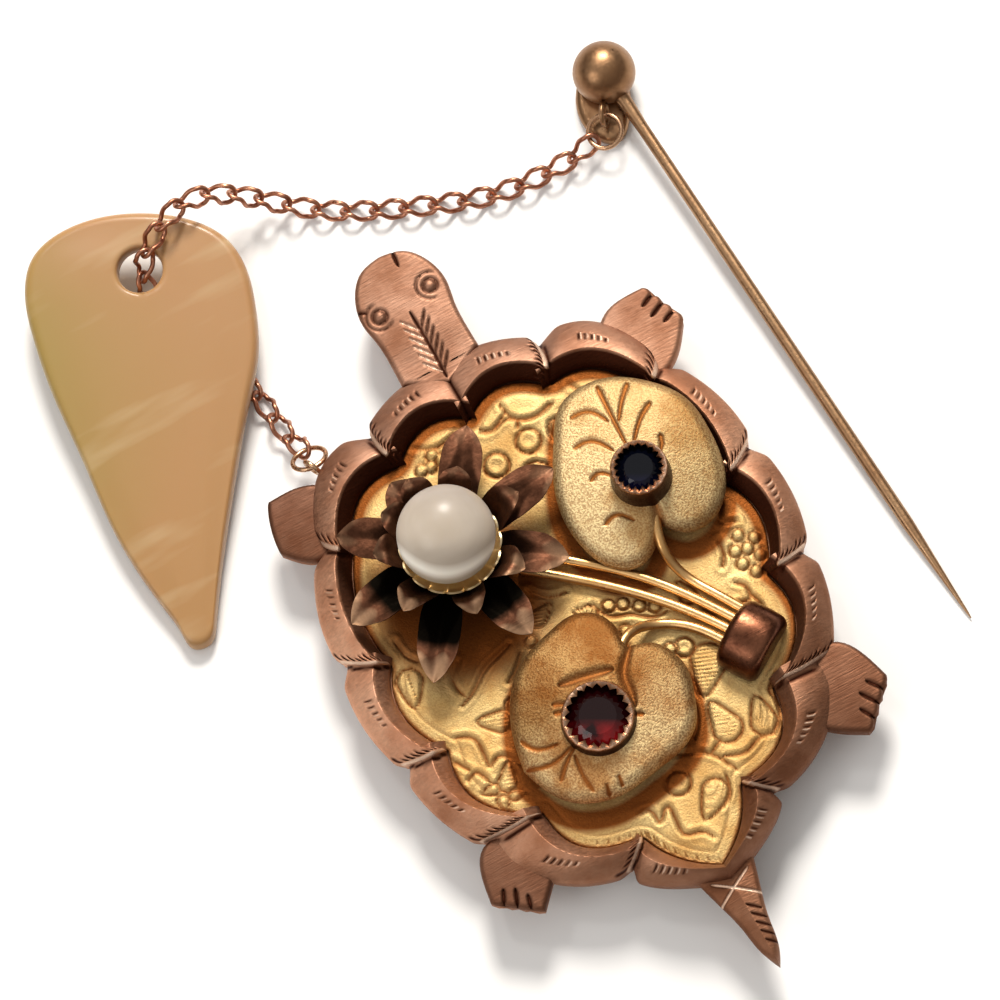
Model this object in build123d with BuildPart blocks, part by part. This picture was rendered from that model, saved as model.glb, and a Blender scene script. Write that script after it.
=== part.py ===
from build123d import *
from collections import namedtuple
import math
import os

# A turtle brooch with a lotus, a pearl and two flowers, and a chain with a shell drop and a stick pin.
# All sizes are in millimetres. While it is drawn, X points to the turtle's right, Y to its head and Z up
# from the surface that everything lies on, with the turtle's middle at X = Y = 0.

# Turtle frame
shell_half_width = 14.8
shell_half_length = 18.0
rest_height = 2.6            # from the surface to the underside of the frame
rim_edge = 0.8               # height of a scute at its outer edge
rim_crest = 1.9              # height of a scute at its inner edge
rim_dome = 0.25              # how far a scute's back bulges over a straight slope
shingle_step = 0.3           # step down from the end of one scute to the next
shingle_lap = 0.4            # length of a scute that is hidden under the one before
shingle_inset = 0.15         # how much narrower that hidden start is at each edge
ledge_width = 0.7            # the lip under the plate
ledge_thickness = 0.35
ledge_hold = 0.4             # how far the lip reaches under the scutes
head_half_width = 2.9
head_length = 8.6
head_overlap = 0.85          # how far the head's outline starts inside the shell's edge
neck_depth = 1.6             # how far the neck's point reaches over the shell from there
head_thickness = 1.2
eye_radius = 0.5
eye_across = 0.62            # share of the head's half width
eye_along = 0.60             # share of the head's length
foot_thickness = 0.9
foot_round = 0.45
tail_thickness = 0.9
tail_length = 6.8
tail_half_width = 1.9
lug_radius = 0.55            # middle of its wire
lug_wire = 0.3

# Plate
fit_gap = 0.08               # clearance round a piece that sits in another
seat_gap = 0.05              # clearance under a piece that rests on another
plate_thickness = 0.5
relief_height = 0.25
relief_wire = 0.28           # width of the raised rings' lines
border_inset = 1.1           # from the plate's edge to its raised border line
border_width = 0.3
berry_radius = 0.42

# Lotus
lotus_rise = 0.7             # from the plate to the underside of the petals
petal_thickness = 0.35
outer_petal_length = 7.7
outer_petal_width = 2.9
outer_petal_lift = 1.3       # rise of the tips
outer_hub_radius = 2.2
inner_petal_length = 4.9
inner_petal_width = 2.2
inner_petal_lift = 2.3
inner_hub_radius = 1.9
petal_widest = 0.55          # share of a petal's length
petal_hollow = 0.3           # share of the lift that a petal has reached half way out
petal_count = 8
first_petal_angle = 9.0
post_radius = 0.5

# Pearl and its cup
pearl_radius = 2.95
cup_floor = 0.25
cup_height = 1.05
cup_wall = 0.25
cup_foot_radius = 1.4
cup_teeth = 16
cup_notch = 0.35
peg_radius = 0.35
peg_length = 2.2

# Flowers
flower_rise = 1.25           # from the plate to the underside of the discs
flower_thickness = 1.5       # at the top of the dome
dome_radius = 18.0
flower_post_radius = 0.6
vein_width = 0.3
vein_depth = 0.15
blue_half_width = 5.2
blue_half_height = 5.8
garnet_half_width = 5.8
garnet_half_height = 5.7

# Stones and their toothed bezels
blue_stone_radius = 1.5
blue_bezel_height = 3.0
garnet_stone_radius = 1.95
garnet_bezel_height = 1.75
bezel_wall = 0.22
bezel_flare = 0.25           # how much wider the bezel is at its foot
bezel_lip = 0.45             # how far the teeth reach in over the stone
bezel_seat_depth = 1.1       # depth of the seat in the flower, under the dome's top
tooth_root = 0.06            # lip that is left between two teeth
teeth_count = 18
stone_facets = 16
stone_crown = 0.45
stone_girdle = 0.12
stone_pavilion = 0.85
stone_table = 0.58           # share of the stone's radius
stone_culet = 0.12           # share of the stone's radius

# Stems and the collar round them
stem_radius = 0.27
stem_height = 0.4            # from the plate to the middle of a stem
collar_turn = 32.0           # turn of its width from X, in degrees
collar_width = 4.3
collar_length = 2.8
collar_height = 2.1
collar_round = 0.4
stem_in_collar = 1.2
stem_spacing = 0.75
stem_shift = 0.4             # the stems' middle, off the collar's middle
stem_play = 0.24             # clearance beside the outer stems in the collar
mouth_bend = 1.2             # radius of a stem's bend at the collar's mouth

# Pin on the back
hinge_place = 0.889          # shares of the shell's half length
catch_place = -1.028
pin_block_width = 3.4
pin_block_length = 2.4
pin_wire_radius = 0.45
pin_wire_height = 0.9

# Chain and rings
link_pitch = 1.83
link_hook = 0.23             # how far the middle of a link's end wire lies past the joint with its neighbour
link_width = 1.08            # between the middles of the wire
link_wire = 0.27
ring_radius = 1.06           # middle of the wire
ring_wire = 0.3
frame_ring_heading = 83.0    # from the turtle's lug to the chain, turned from X
frame_ring_dip = 38.0

# Shell drop
hole_x = -3.37               # middle of its hole, at its underside, from the turtle's lug
hole_y = 16.66
hole_height = 1.96
drop_length = 28.0
drop_width = 13.8
drop_thickness = 1.4
drop_heading = 75.6          # from X, in degrees
drop_tilt = 4.8              # its top lies on the chain
drop_round = 0.45
hole_radius = 1.4
hole_along = 24.0            # from the drop's tip
hole_across = 1.9

# Stick pin
ball_radius = 1.95
ball_from_ring_x = 1.75
ball_from_ring_y = 3.25
needle_radius = 0.38
needle_length = 40.1
needle_heading = -86.6
needle_neck_radius = 0.52    # the needle is thicker where it is soldered to the ball
needle_neck_length = 3.0
needle_point_radius = 0.06
needle_point_length = 7.0
needle_tip_height = 0.16
needle_start_x = 0.2         # from the ball's middle
needle_start_y = -1.15
needle_start_drop = 0.45
eye_wire = 0.3
pin_eye_radius = 0.7         # middle of its wire
tongue_thickness = 0.8
tongue_round = 0.35

os.makedirs("parts", exist_ok=True)

# Where the lotus, the flowers and the collar stand, as shares of the shell's half width and half length
Place = namedtuple("Place", "x y")
lotus_place = Place(-0.328, 0.389)
blue_place = Place(0.473, 0.356)
garnet_place = Place(-0.128, -0.317)
collar_place = Place(0.541, -0.367)

# Where the stones stand, as shares of their flower's half width and half height
blue_stone_place = Place(0.010, -0.240)
garnet_stone_place = Place(-0.060, -0.193)

# The rim from the head to the tail on the turtle's right, as shares of the shell's half width and half
# length. Every second row is the border between two scutes, and the rows between are their middles.
RimRow = namedtuple("RimRow", "outer_x outer_y inner_x inner_y")
rim_rows = [
    RimRow(0.000, 1.019, 0.000, 0.795),
    RimRow(0.209, 1.005, 0.176, 0.844),
    RimRow(0.392, 0.935, 0.351, 0.763),
    RimRow(0.642, 0.886, 0.554, 0.734),
    RimRow(0.797, 0.664, 0.689, 0.571),
    RimRow(0.922, 0.466, 0.784, 0.373),
    RimRow(0.956, 0.262, 0.770, 0.163),
    RimRow(0.990, 0.046, 0.831, 0.000),
    RimRow(0.939, -0.158, 0.740, -0.187),
    RimRow(0.912, -0.339, 0.733, -0.386),
    RimRow(0.811, -0.519, 0.527, -0.534),
    RimRow(0.628, -0.747, 0.449, -0.700),
    RimRow(0.345, -0.852, 0.226, -0.764),
    RimRow(0.253, -0.939, 0.142, -0.887),
    RimRow(0.000, -1.038, 0.000, -0.980),
]

# The head's right side from the neck to the nose, as shares of its half width and its length
HeadRow = namedtuple("HeadRow", "across along")
head_rows = [
    HeadRow(0.92, 0.00),
    HeadRow(0.90, 0.25),
    HeadRow(0.93, 0.45),
    HeadRow(1.00, 0.60),
    HeadRow(0.86, 0.82),
    HeadRow(0.50, 0.96),
    HeadRow(0.00, 1.00),
]

# The tail's right side, as shares of its half width and its length
tail_rows = [
    HeadRow(1.00, 0.00),
    HeadRow(0.72, 0.28),
    HeadRow(0.45, 0.58),
    HeadRow(0.28, 0.84),
    HeadRow(0.00, 1.00),
]

# The feet, as shares of the shell's half width and half length. The first points lie under the rim.
feet = {
    "front left": [
        Place(-0.75, 0.61), Place(-0.62, 0.82), Place(-0.73, 0.865), Place(-0.885, 0.875),
        Place(-0.94, 0.69), Place(-0.79, 0.60),
    ],
    "front right": [
        Place(0.75, 0.60), Place(0.61, 0.83), Place(0.70, 0.895), Place(0.89, 0.92),
        Place(0.975, 0.735), Place(0.80, 0.61),
    ],
    "rear left": [
        Place(-0.70, -0.52), Place(-0.79, -0.53), Place(-0.90, -0.72), Place(-0.705, -0.84),
        Place(-0.56, -0.70),
    ],
    "rear right": [
        Place(0.70, -0.49), Place(0.82, -0.49), Place(0.965, -0.69), Place(0.78, -0.84),
        Place(0.58, -0.70),
    ],
}

# Petal lengths as shares of the outer petal's length, in turn from the first petal
outer_petal_shares = [0.94, 1.00, 0.72, 0.90, 0.97, 1.00, 0.88, 0.86]

# The flowers' outlines, as shares of their half width and half height. A flower is drawn in lobes, each
# of them one smooth curve, and neighbours share their end points.
blue_lobes = [
    [
        Place(-0.06, -0.74), Place(-0.26, -0.93), Place(-0.485, -1.00),
        Place(-0.75, -0.90), Place(-0.94, -0.61), Place(-1.00, -0.20),
        Place(-0.94, 0.09), Place(-0.65, 0.61),
    ],
    [
        Place(-0.65, 0.61), Place(-0.36, 0.94), Place(-0.11, 1.00),
        Place(0.28, 0.94), Place(0.62, 0.72), Place(0.94, 0.31),
        Place(0.98, -0.05), Place(0.96, -0.32), Place(0.80, -0.72),
        Place(0.45, -0.95), Place(0.13, -0.92), Place(-0.06, -0.74),
    ],
]
garnet_lobes = [
    [
        Place(0.56, 0.37), Place(0.66, 0.35), Place(0.83, 0.28),
        Place(0.96, 0.07), Place(0.99, -0.15), Place(0.92, -0.40),
        Place(0.81, -0.65), Place(0.62, -0.81), Place(0.15, -0.93),
        Place(-0.19, -0.97), Place(-0.45, -0.92), Place(-0.70, -0.78),
        Place(-0.87, -0.55), Place(-0.98, -0.25),
    ],
    [
        Place(-0.98, -0.25), Place(-0.91, 0.13), Place(-0.78, 0.44),
        Place(-0.61, 0.68), Place(-0.45, 0.80), Place(-0.03, 0.95),
        Place(0.23, 0.99), Place(0.44, 0.89), Place(0.54, 0.73),
        Place(0.56, 0.37),
    ],
]

# The engraved veins, from and to, as shares of the flower's half width and half height
Vein = namedtuple("Vein", "from_x from_y to_x to_y")
blue_veins = [
    Vein(0.10, 0.84, 0.05, 0.18),
    Vein(0.36, 0.72, 0.22, 0.56),
    Vein(0.52, 0.46, 0.22, 0.20),
    Vein(-0.28, 0.76, 0.00, 0.54),
    Vein(-0.46, 0.46, -0.12, 0.18),
    Vein(-0.48, 0.06, -0.28, -0.04),
    Vein(-0.58, -0.38, -0.28, -0.60),
]
garnet_veins = [
    Vein(-0.82, 0.08, -0.52, 0.03),
    Vein(-0.96, -0.12, -0.48, -0.14),
    Vein(-0.70, -0.36, -0.46, -0.18),
    Vein(-0.46, -0.30, -0.44, -0.66),
    Vein(-0.50, 0.36, -0.36, 0.22),
]

# A stem's start, from the middle of its flower, and its bends between the start and the collar: a share
# of the way, and a share of the same length to the left of it
Stem = namedtuple("Stem", "start_x start_y bends radii")
Bend = namedtuple("Bend", "along aside")
blue_stem_rows = Stem(
    -0.25, -3.50, [Bend(0.233, -0.138), Bend(0.484, -0.149), Bend(0.755, -0.075)], [1.5, 2.0, 2.5],
)
garnet_stem_rows = Stem(
    2.00, 1.40, [Bend(0.186, 0.256), Bend(0.460, 0.327), Bend(0.718, 0.233)], [1.2, 2.0, 2.0],
)
lotus_stem_rows = [
    Stem(3.15, -2.90, [Bend(0.604, 0.043)], [8.0]),
    Stem(3.85, -2.15, [Bend(0.584, 0.053)], [8.0]),
]

# Raised ornaments on the plate, as shares of the shell's half width and half length
Ornament = namedtuple("Ornament", "x y size heading")
raised_rings = [
    Ornament(0.158, 0.622, 0.75, 0),
    Ornament(0.008, 0.603, 0.75, 0),
    Ornament(-0.70, 0.08, 0.80, 0),
    Ornament(0.130, -0.765, 0.60, 0),
    Ornament(-0.06, -0.765, 0.60, 0),
    Ornament(-0.565, -0.315, 0.70, 0),
]
raised_drops = [
    Ornament(0.273, -0.529, 2.6, 70),
    Ornament(0.425, -0.560, 2.2, 40),
    Ornament(0.335, -0.358, 2.2, 25),
    Ornament(-0.508, -0.168, 1.8, 10),
    Ornament(0.070, -0.640, 1.8, 60),
    Ornament(-0.66, -0.10, 2.2, 75),
    Ornament(0.20, 0.735, 1.8, 160),
]
berries = [
    Ornament(0.655, -0.115, 0, 0),
    Ornament(0.700, -0.090, 0, 0),
    Ornament(0.700, -0.150, 0, 0),
    Ornament(0.648, -0.170, 0, 0),
    Ornament(-0.20, 0.745, 0, 0),
    Ornament(-0.26, 0.735, 0, 0),
]

# The chain's route from the pin's ring over the surface, up on to the drop, down through its hole, back
# under it and towards the turtle, as chosen places of the chain's middle: X and Y from the turtle's lug
# and the height over the surface
chain_route = [
    (24.99, 10.54, 1.28),
    (23.14, 10.31, 0.84),
    (20.90, 10.36, 0.68),
    (18.66, 10.63, 0.58),
    (14.51, 12.07, 0.56),
    (10.84, 13.77, 0.56),
    (7.91, 15.53, 0.66),
    (5.60, 17.16, 1.60),
    (3.34, 18.31, 3.30),
    (1.44, 18.71, 4.25),
    (-0.36, 18.31, 4.40),
    (-1.91, 17.51, 4.10),
    (-3.06, 16.78, 3.46),
    (-3.51, 16.26, 2.30),
    (-3.56, 15.46, 1.22),
    (-3.21, 13.96, 0.71),
    (-2.21, 11.16, 0.60),
    (-1.21, 8.56, 0.58),
    (-0.66, 6.27, 0.64),
    (-0.41, 3.88, 0.88),
]

# How the links are turned about the chain's line at a share of its length. At 0 every second link
# leans 45 degrees to the one side and the others to the other side.
TwistRow = namedtuple("TwistRow", "share turn")
chain_twist = [
    TwistRow(0.00, -45),
    TwistRow(0.06, -30),
    TwistRow(0.16, 0),
    TwistRow(0.42, 0),
    TwistRow(0.61, 30),
    TwistRow(0.65, 30),
    TwistRow(0.69, 60),
    TwistRow(0.72, 70),
    TwistRow(0.80, 0),
    TwistRow(0.88, 0),
    TwistRow(0.97, -40),
    TwistRow(1.00, -45),
]

# The pin's tongue from the ball's left side round its tip to the needle, as shares of the ball's radius
tongue_points = [
    Place(-0.85, 0.40),
    Place(-1.15, -0.07),
    Place(-1.34, -0.95),
    Place(-1.16, -1.60),
    Place(-0.88, -1.92),
    Place(-0.49, -1.98),
    Place(-0.05, -1.62),
    Place(0.34, -1.05),
    Place(0.60, -0.40),
]

# The drop's outline from its tip's left side to the top, back along the right side and round the tip, as
# shares of its length and width
DropPoint = namedtuple("DropPoint", "along across")
drop_rows = [
    DropPoint(0.100, -0.108),
    DropPoint(0.298, -0.249),
    DropPoint(0.479, -0.314),
    DropPoint(0.643, -0.375),
    DropPoint(0.782, -0.400),
    DropPoint(0.876, -0.390),
    DropPoint(0.952, -0.317),
    DropPoint(0.993, -0.159),
    DropPoint(1.000, 0.060),
    DropPoint(0.978, 0.257),
    DropPoint(0.934, 0.436),
    DropPoint(0.880, 0.545),
    DropPoint(0.800, 0.598),
    DropPoint(0.712, 0.595),
    DropPoint(0.603, 0.552),
    DropPoint(0.514, 0.472),
    DropPoint(0.348, 0.323),
    DropPoint(0.178, 0.182),
    DropPoint(0.050, 0.090),
    DropPoint(0.010, 0.040),
    DropPoint(0.010, -0.035),
    DropPoint(0.050, -0.070),
]

# Heights and places that follow from the sizes
plate_bottom = rest_height + ledge_thickness + seat_gap
plate_top = plate_bottom + plate_thickness
lotus_base = plate_top + lotus_rise
inner_lotus_base = lotus_base + petal_thickness + seat_gap
cup_base = inner_lotus_base + petal_thickness + seat_gap
pearl_height = cup_base + cup_floor + seat_gap + pearl_radius
flower_base = plate_top + flower_rise
stem_level = plate_top + stem_height
lotus_x = lotus_place.x * shell_half_width
lotus_y = lotus_place.y * shell_half_length
blue_x = blue_place.x * shell_half_width
blue_y = blue_place.y * shell_half_length
garnet_x = garnet_place.x * shell_half_width
garnet_y = garnet_place.y * shell_half_length
neck_place = rim_rows[0].outer_y * shell_half_length - head_overlap

pieces = {}


def keep(name, part):
    """Gives a finished piece its name and puts it with the others."""
    part.label = name
    pieces[name] = part


def rim_edges(index, side=1):
    """The inner and outer edge of the rim at a row. Row -1 is row 1 of the other side."""
    row = rim_rows[abs(index)]
    turn = side if index >= 0 else -side
    inner = Vector(row.inner_x * shell_half_width * turn, row.inner_y * shell_half_length)
    outer = Vector(row.outer_x * shell_half_width * turn, row.outer_y * shell_half_length)
    return inner, outer


def inner_edge(index, reach, side):
    """A point that lies outwards of the rim's inner edge by the reach."""
    inner, outer = rim_edges(index, side)
    return inner + (outer - inner).normalized() * reach


def rim_loop(reach):
    """The closed line of 14 arcs along the rim's inner edge, shifted outwards by the reach."""
    with BuildLine() as loop:
        for side in (1, -1):
            for first in range(0, len(rim_rows) - 1, 2):
                ThreePointArc(*[inner_edge(index, reach, side) for index in range(first, first + 3)])
    return loop.line


def scute_section(inner, outer, lift):
    """An upright section across the rim: low at the outer edge, domed, highest at the inner edge."""
    across = (outer - inner).normalized()
    width = (outer - inner).length
    middle_height = (rim_edge + rim_crest) / 2 + rim_dome
    plane = Plane(origin=(inner.X, inner.Y, rest_height), x_dir=across, z_dir=(across.Y, -across.X, 0))
    with BuildSketch(plane) as section:
        with BuildLine():
            Polyline((0, rim_crest + lift), (0, 0), (width, 0), (width, rim_edge + lift))
            ThreePointArc((width, rim_edge + lift), (width / 2, middle_height + lift), (0, rim_crest + lift))
        make_face()
    return section.sketch


def scute(first):
    """One scute, lofted from its hidden start under the scute before to its raised end."""
    before_inner, before_outer = rim_edges(first - 1)
    start_inner, start_outer = rim_edges(first)
    back = (before_inner + before_outer - start_inner - start_outer).normalized() * shingle_lap
    inset = (start_outer - start_inner).normalized() * shingle_inset
    sections = [
        scute_section(start_inner + back + inset, start_outer + back - inset, -shingle_step / 2),
        scute_section(*rim_edges(first + 1), 0),
        scute_section(*rim_edges(first + 2), shingle_step / 2),
    ]
    with BuildPart() as piece:
        loft(sections)
    return piece.part


def half_outline(rows, half_width, start, length):
    """A closed outline with two like sides, from rows of shares, with its tip on the Y axis."""
    points = [(row.across * half_width, start + row.along * length) for row in rows]
    with BuildLine() as outline:
        side = Spline(*points)
        mirror(side, about=Plane.YZ)
        Line((points[0][0], start), (-points[0][0], start))
    return outline.line


def wire_ring(plane, radius, wire):
    """A ring of round wire in the given plane."""
    with BuildPart() as ring:
        with BuildSketch(Plane(origin=plane.origin, x_dir=plane.x_dir, z_dir=plane.y_dir)):
            with Locations((radius, 0)):
                Circle(wire / 2)
        revolve(axis=Axis(plane.origin, plane.z_dir))
    return ring.part


def upright_plane(x, y, z):
    """An upright plane along X through a point, with its own Y axis upwards."""
    return Plane(origin=(x, y, z), x_dir=(1, 0, 0), z_dir=(0, -1, 0))


# Turtle frame

lug_inner, lug_outer = rim_edges(3, -1)
lug_out = (lug_outer - lug_inner).normalized()
lug_middle = Vector(lug_outer.X, lug_outer.Y, rest_height + rim_edge / 2) + lug_out * lug_radius
lug_plane = Plane(origin=lug_middle, x_dir=lug_out, z_dir=lug_out.cross(Vector(0, 0, 1)))

with BuildPart() as turtle_frame:
    for first in range(0, len(rim_rows) - 1, 2):
        add(scute(first))
    mirror(about=Plane.YZ)
    # The lip under the plate reaches from inside the scutes into the opening
    with BuildSketch(Plane.XY.offset(rest_height)):
        add(make_face(rim_loop(ledge_hold)))
        add(make_face(rim_loop(-ledge_width)), mode=Mode.SUBTRACT)
    extrude(amount=ledge_thickness)
    with BuildSketch(Plane.XY.offset(rest_height)):
        make_face(half_outline(head_rows, head_half_width, neck_place, head_length))
    extrude(amount=head_thickness)
    # The neck's point lies over the rim
    with BuildSketch(Plane.XY.offset(rest_height)):
        with BuildLine():
            neck_half_width = head_half_width * head_rows[0].across
            Polyline(
                (-neck_half_width, neck_place + neck_depth),
                (-neck_half_width, neck_place),
                (0, neck_place - neck_depth),
                (neck_half_width, neck_place),
                (neck_half_width, neck_place + neck_depth),
                close=True,
            )
        make_face()
    extrude(amount=rim_crest - rim_dome)
    for side in (1, -1):
        eye_y = neck_place + eye_along * head_length
        with Locations((side * eye_across * head_half_width, eye_y, rest_height + head_thickness)):
            Sphere(eye_radius)
    for outline in feet.values():
        with BuildSketch(Plane.XY.offset(rest_height)):
            with BuildLine():
                Polyline(*[(p.x * shell_half_width, p.y * shell_half_length) for p in outline], close=True)
            make_face()
            fillet(vertices(), foot_round)
        extrude(amount=foot_thickness)
    with BuildSketch(Plane.XY.offset(rest_height)):
        tail_start = rim_rows[-1].inner_y * shell_half_length
        make_face(half_outline(tail_rows, tail_half_width, tail_start, -tail_length))
    extrude(amount=tail_thickness)
    add(wire_ring(lug_plane, lug_radius, lug_wire))
    # The opening is cut once more, over the lip, to one clean line
    with BuildSketch(Plane.XY.offset(rest_height + ledge_thickness)):
        make_face(rim_loop(0))
    extrude(amount=rim_crest + shingle_step, mode=Mode.SUBTRACT)
keep("turtle_frame", turtle_frame.part)


# Plate

def teardrop(size, heading):
    """A pointed drop shape about its own middle."""
    radius = size / 4
    with BuildSketch(mode=Mode.PRIVATE) as shape:
        with BuildLine():
            ThreePointArc((0, radius), (-radius, 0), (0, -radius))
            Line((0, -radius), (size / 2, 0))
            Line((size / 2, 0), (0, radius))
        make_face()
    return shape.sketch.rotate(Axis.Z, heading)


with BuildPart() as shell_plate:
    with BuildSketch(Plane.XY.offset(plate_bottom)):
        make_face(rim_loop(0))
        offset(amount=-fit_gap)
    extrude(amount=plate_thickness)
    with BuildSketch(Plane.XY.offset(plate_top)):
        make_face(rim_loop(0))
        offset(amount=-border_inset)
    with BuildSketch(Plane.XY.offset(plate_top)) as inside_border:
        make_face(rim_loop(0))
        offset(amount=-border_inset - border_width)
    extrude(amount=relief_height)
    extrude(inside_border.sketch, amount=relief_height, mode=Mode.SUBTRACT)
    with BuildSketch(Plane.XY.offset(plate_top)):
        for ornament in raised_rings:
            with Locations((ornament.x * shell_half_width, ornament.y * shell_half_length)):
                Circle(ornament.size)
                Circle(ornament.size - relief_wire, mode=Mode.SUBTRACT)
        for ornament in raised_drops:
            with Locations((ornament.x * shell_half_width, ornament.y * shell_half_length)):
                add(teardrop(ornament.size, ornament.heading))
    extrude(amount=relief_height)
    with Locations(*[(b.x * shell_half_width, b.y * shell_half_length, plate_top) for b in berries]):
        Sphere(berry_radius)
    with Locations((lotus_x, lotus_y, plate_bottom)):
        Cylinder(post_radius + fit_gap, 2 * plate_thickness + relief_height, mode=Mode.SUBTRACT)
    with Locations((blue_x, blue_y, plate_bottom), (garnet_x, garnet_y, plate_bottom)):
        Cylinder(flower_post_radius + fit_gap, 2 * plate_thickness + relief_height, mode=Mode.SUBTRACT)
keep("shell_plate", shell_plate.part)


# Lotus

def petal_shape(length, width, angle):
    """A pointed leaf of two arcs from the lotus' middle."""
    with BuildSketch(mode=Mode.PRIVATE) as shape:
        with BuildLine():
            ThreePointArc((0, 0), (length * petal_widest, width / 2), (length, 0))
            ThreePointArc((length, 0), (length * petal_widest, -width / 2), (0, 0))
        make_face()
    return shape.sketch.rotate(Axis.Z, angle)


def petal_row(base, hub_radius, length, lift, petals):
    """Petals cut from a turned dish that curves up from the hub to the tips."""
    reach = length + petal_thickness
    middle = (hub_radius + reach) / 2
    with BuildPart() as row:
        with BuildSketch(upright_plane(lotus_x, lotus_y, base)):
            with BuildLine():
                Polyline((hub_radius, 0), (0, 0), (0, petal_thickness), (hub_radius, petal_thickness))
                ThreePointArc(
                    (hub_radius, petal_thickness),
                    (middle, petal_thickness + lift * petal_hollow),
                    (reach, petal_thickness + lift),
                )
                Line((reach, petal_thickness + lift), (reach, lift))
                ThreePointArc((reach, lift), (middle, lift * petal_hollow), (hub_radius, 0))
            make_face()
        revolve(axis=Axis((lotus_x, lotus_y, 0), (0, 0, 1)))
        with BuildSketch(Plane(origin=(lotus_x, lotus_y, base))):
            Circle(hub_radius)
            for petal in petals:
                add(petal)
        extrude(amount=lift + 2 * petal_thickness, mode=Mode.INTERSECT)
        with Locations((lotus_x, lotus_y, base)):
            Cylinder(post_radius + fit_gap, 4 * petal_thickness, mode=Mode.SUBTRACT)
    return row.part


petal_step = 360 / petal_count
outer_petals = [
    petal_shape(outer_petal_length * share, outer_petal_width, first_petal_angle + petal_step * k)
    for k, share in enumerate(outer_petal_shares)
]
inner_petals = [
    petal_shape(inner_petal_length, inner_petal_width, first_petal_angle + petal_step * (k + 0.5))
    for k in range(petal_count)
]
keep(
    "lotus_outer_petals",
    petal_row(lotus_base, outer_hub_radius, outer_petal_length, outer_petal_lift, outer_petals),
)
keep(
    "lotus_inner_petals",
    petal_row(inner_lotus_base, inner_hub_radius, inner_petal_length, inner_petal_lift, inner_petals),
)


# Pearl and its cup

post_bottom = plate_bottom - ledge_thickness / 2
pearl_gap = pearl_radius + seat_gap
cup_reach = math.sqrt(pearl_gap ** 2 - (pearl_height - cup_base - cup_height) ** 2)

with BuildPart() as pearl_cup:
    with BuildSketch(upright_plane(lotus_x, lotus_y, cup_base)):
        with BuildLine():
            Polyline(
                (0, 0), (cup_foot_radius, 0), (cup_reach + cup_wall, cup_height), (0, cup_height), close=True,
            )
        make_face()
    revolve(axis=Axis((lotus_x, lotus_y, 0), (0, 0, 1)))
    with Locations((lotus_x, lotus_y, pearl_height)):
        Sphere(pearl_gap, mode=Mode.SUBTRACT)
    # Teeth round the cup's edge
    with Locations((lotus_x, lotus_y, cup_base + cup_height)):
        with PolarLocations(cup_reach, cup_teeth):
            Box(4 * cup_wall, cup_notch, 2 * cup_notch, mode=Mode.SUBTRACT)
    with BuildSketch(Plane(origin=(lotus_x, lotus_y, post_bottom))):
        Circle(post_radius)
    extrude(amount=cup_base - post_bottom)
    with BuildSketch(Plane(origin=(lotus_x, lotus_y, cup_base))):
        Circle(peg_radius)
    extrude(amount=cup_floor + peg_length)
keep("pearl_cup", pearl_cup.part)

with BuildPart() as pearl:
    with Locations((lotus_x, lotus_y, pearl_height)):
        Sphere(pearl_radius)
    with BuildSketch(Plane(origin=(lotus_x, lotus_y, cup_base + cup_floor))):
        Circle(peg_radius + fit_gap)
    extrude(amount=peg_length + seat_gap, mode=Mode.SUBTRACT)
keep("pearl", pearl.part)


# Flowers

def stem_wire(points, radii):
    """A round wire along straight runs joined by arcs."""
    with BuildPart() as wire:
        with BuildLine() as path:
            FilletPolyline(*points, radius=radii)
        with BuildSketch(Plane(origin=points[0], z_dir=points[1] - points[0])):
            Circle(stem_radius)
        sweep(path=path.line)
    return wire.part


def bezel_foot(radius):
    """Outer radius of the foot of a bezel for a stone of this radius."""
    return radius + bezel_wall + bezel_flare


def flower(lobes, veins, x, y, half_width, half_height, stone_place, stone_radius, stem):
    """A domed disc with engraved veins, a seat for its bezel, a post and its stem."""
    dome_middle = (x, y, flower_base + flower_thickness - dome_radius)
    stone_at = (stone_place.x * half_width, stone_place.y * half_height)
    with BuildPart() as grooves:
        with BuildSketch(Plane(origin=(x, y, flower_base))):
            for vein in veins:
                start = Vector(vein.from_x * half_width, vein.from_y * half_height)
                end = Vector(vein.to_x * half_width, vein.to_y * half_height)
                heading = math.degrees(math.atan2(end.Y - start.Y, end.X - start.X))
                with Locations(Location((start + end) / 2, (0, 0, heading))):
                    SlotOverall((end - start).length, vein_width)
        extrude(amount=2 * flower_thickness)
        with Locations(dome_middle):
            Sphere(dome_radius - vein_depth, mode=Mode.SUBTRACT)
    with BuildPart() as disc:
        with BuildSketch(Plane(origin=(x, y, flower_base))):
            with BuildLine():
                for lobe in lobes:
                    Spline(*[(point.x * half_width, point.y * half_height) for point in lobe])
            make_face()
        extrude(amount=flower_thickness)
        with Locations(dome_middle):
            Sphere(dome_radius, mode=Mode.INTERSECT)
        add(grooves.part, mode=Mode.SUBTRACT)
        with BuildSketch(Plane(origin=(x, y, flower_base + flower_thickness - bezel_seat_depth))):
            with Locations(stone_at):
                Circle(bezel_foot(stone_radius) + fit_gap)
        extrude(amount=bezel_seat_depth, mode=Mode.SUBTRACT)
        with BuildSketch(Plane(origin=(x, y, post_bottom))):
            Circle(flower_post_radius)
        extrude(amount=flower_base + seat_gap - post_bottom)
        add(stem)
    return disc.part


# The collar's own directions: its width, and its length away from the flowers
collar_across = Vector(math.cos(math.radians(collar_turn)), math.sin(math.radians(collar_turn)))
collar_along = Vector(collar_across.Y, -collar_across.X)
collar_middle = Vector(collar_place.x * shell_half_width, collar_place.y * shell_half_length, stem_level)
collar_mouth = collar_middle - collar_along * (collar_length / 2)


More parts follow.
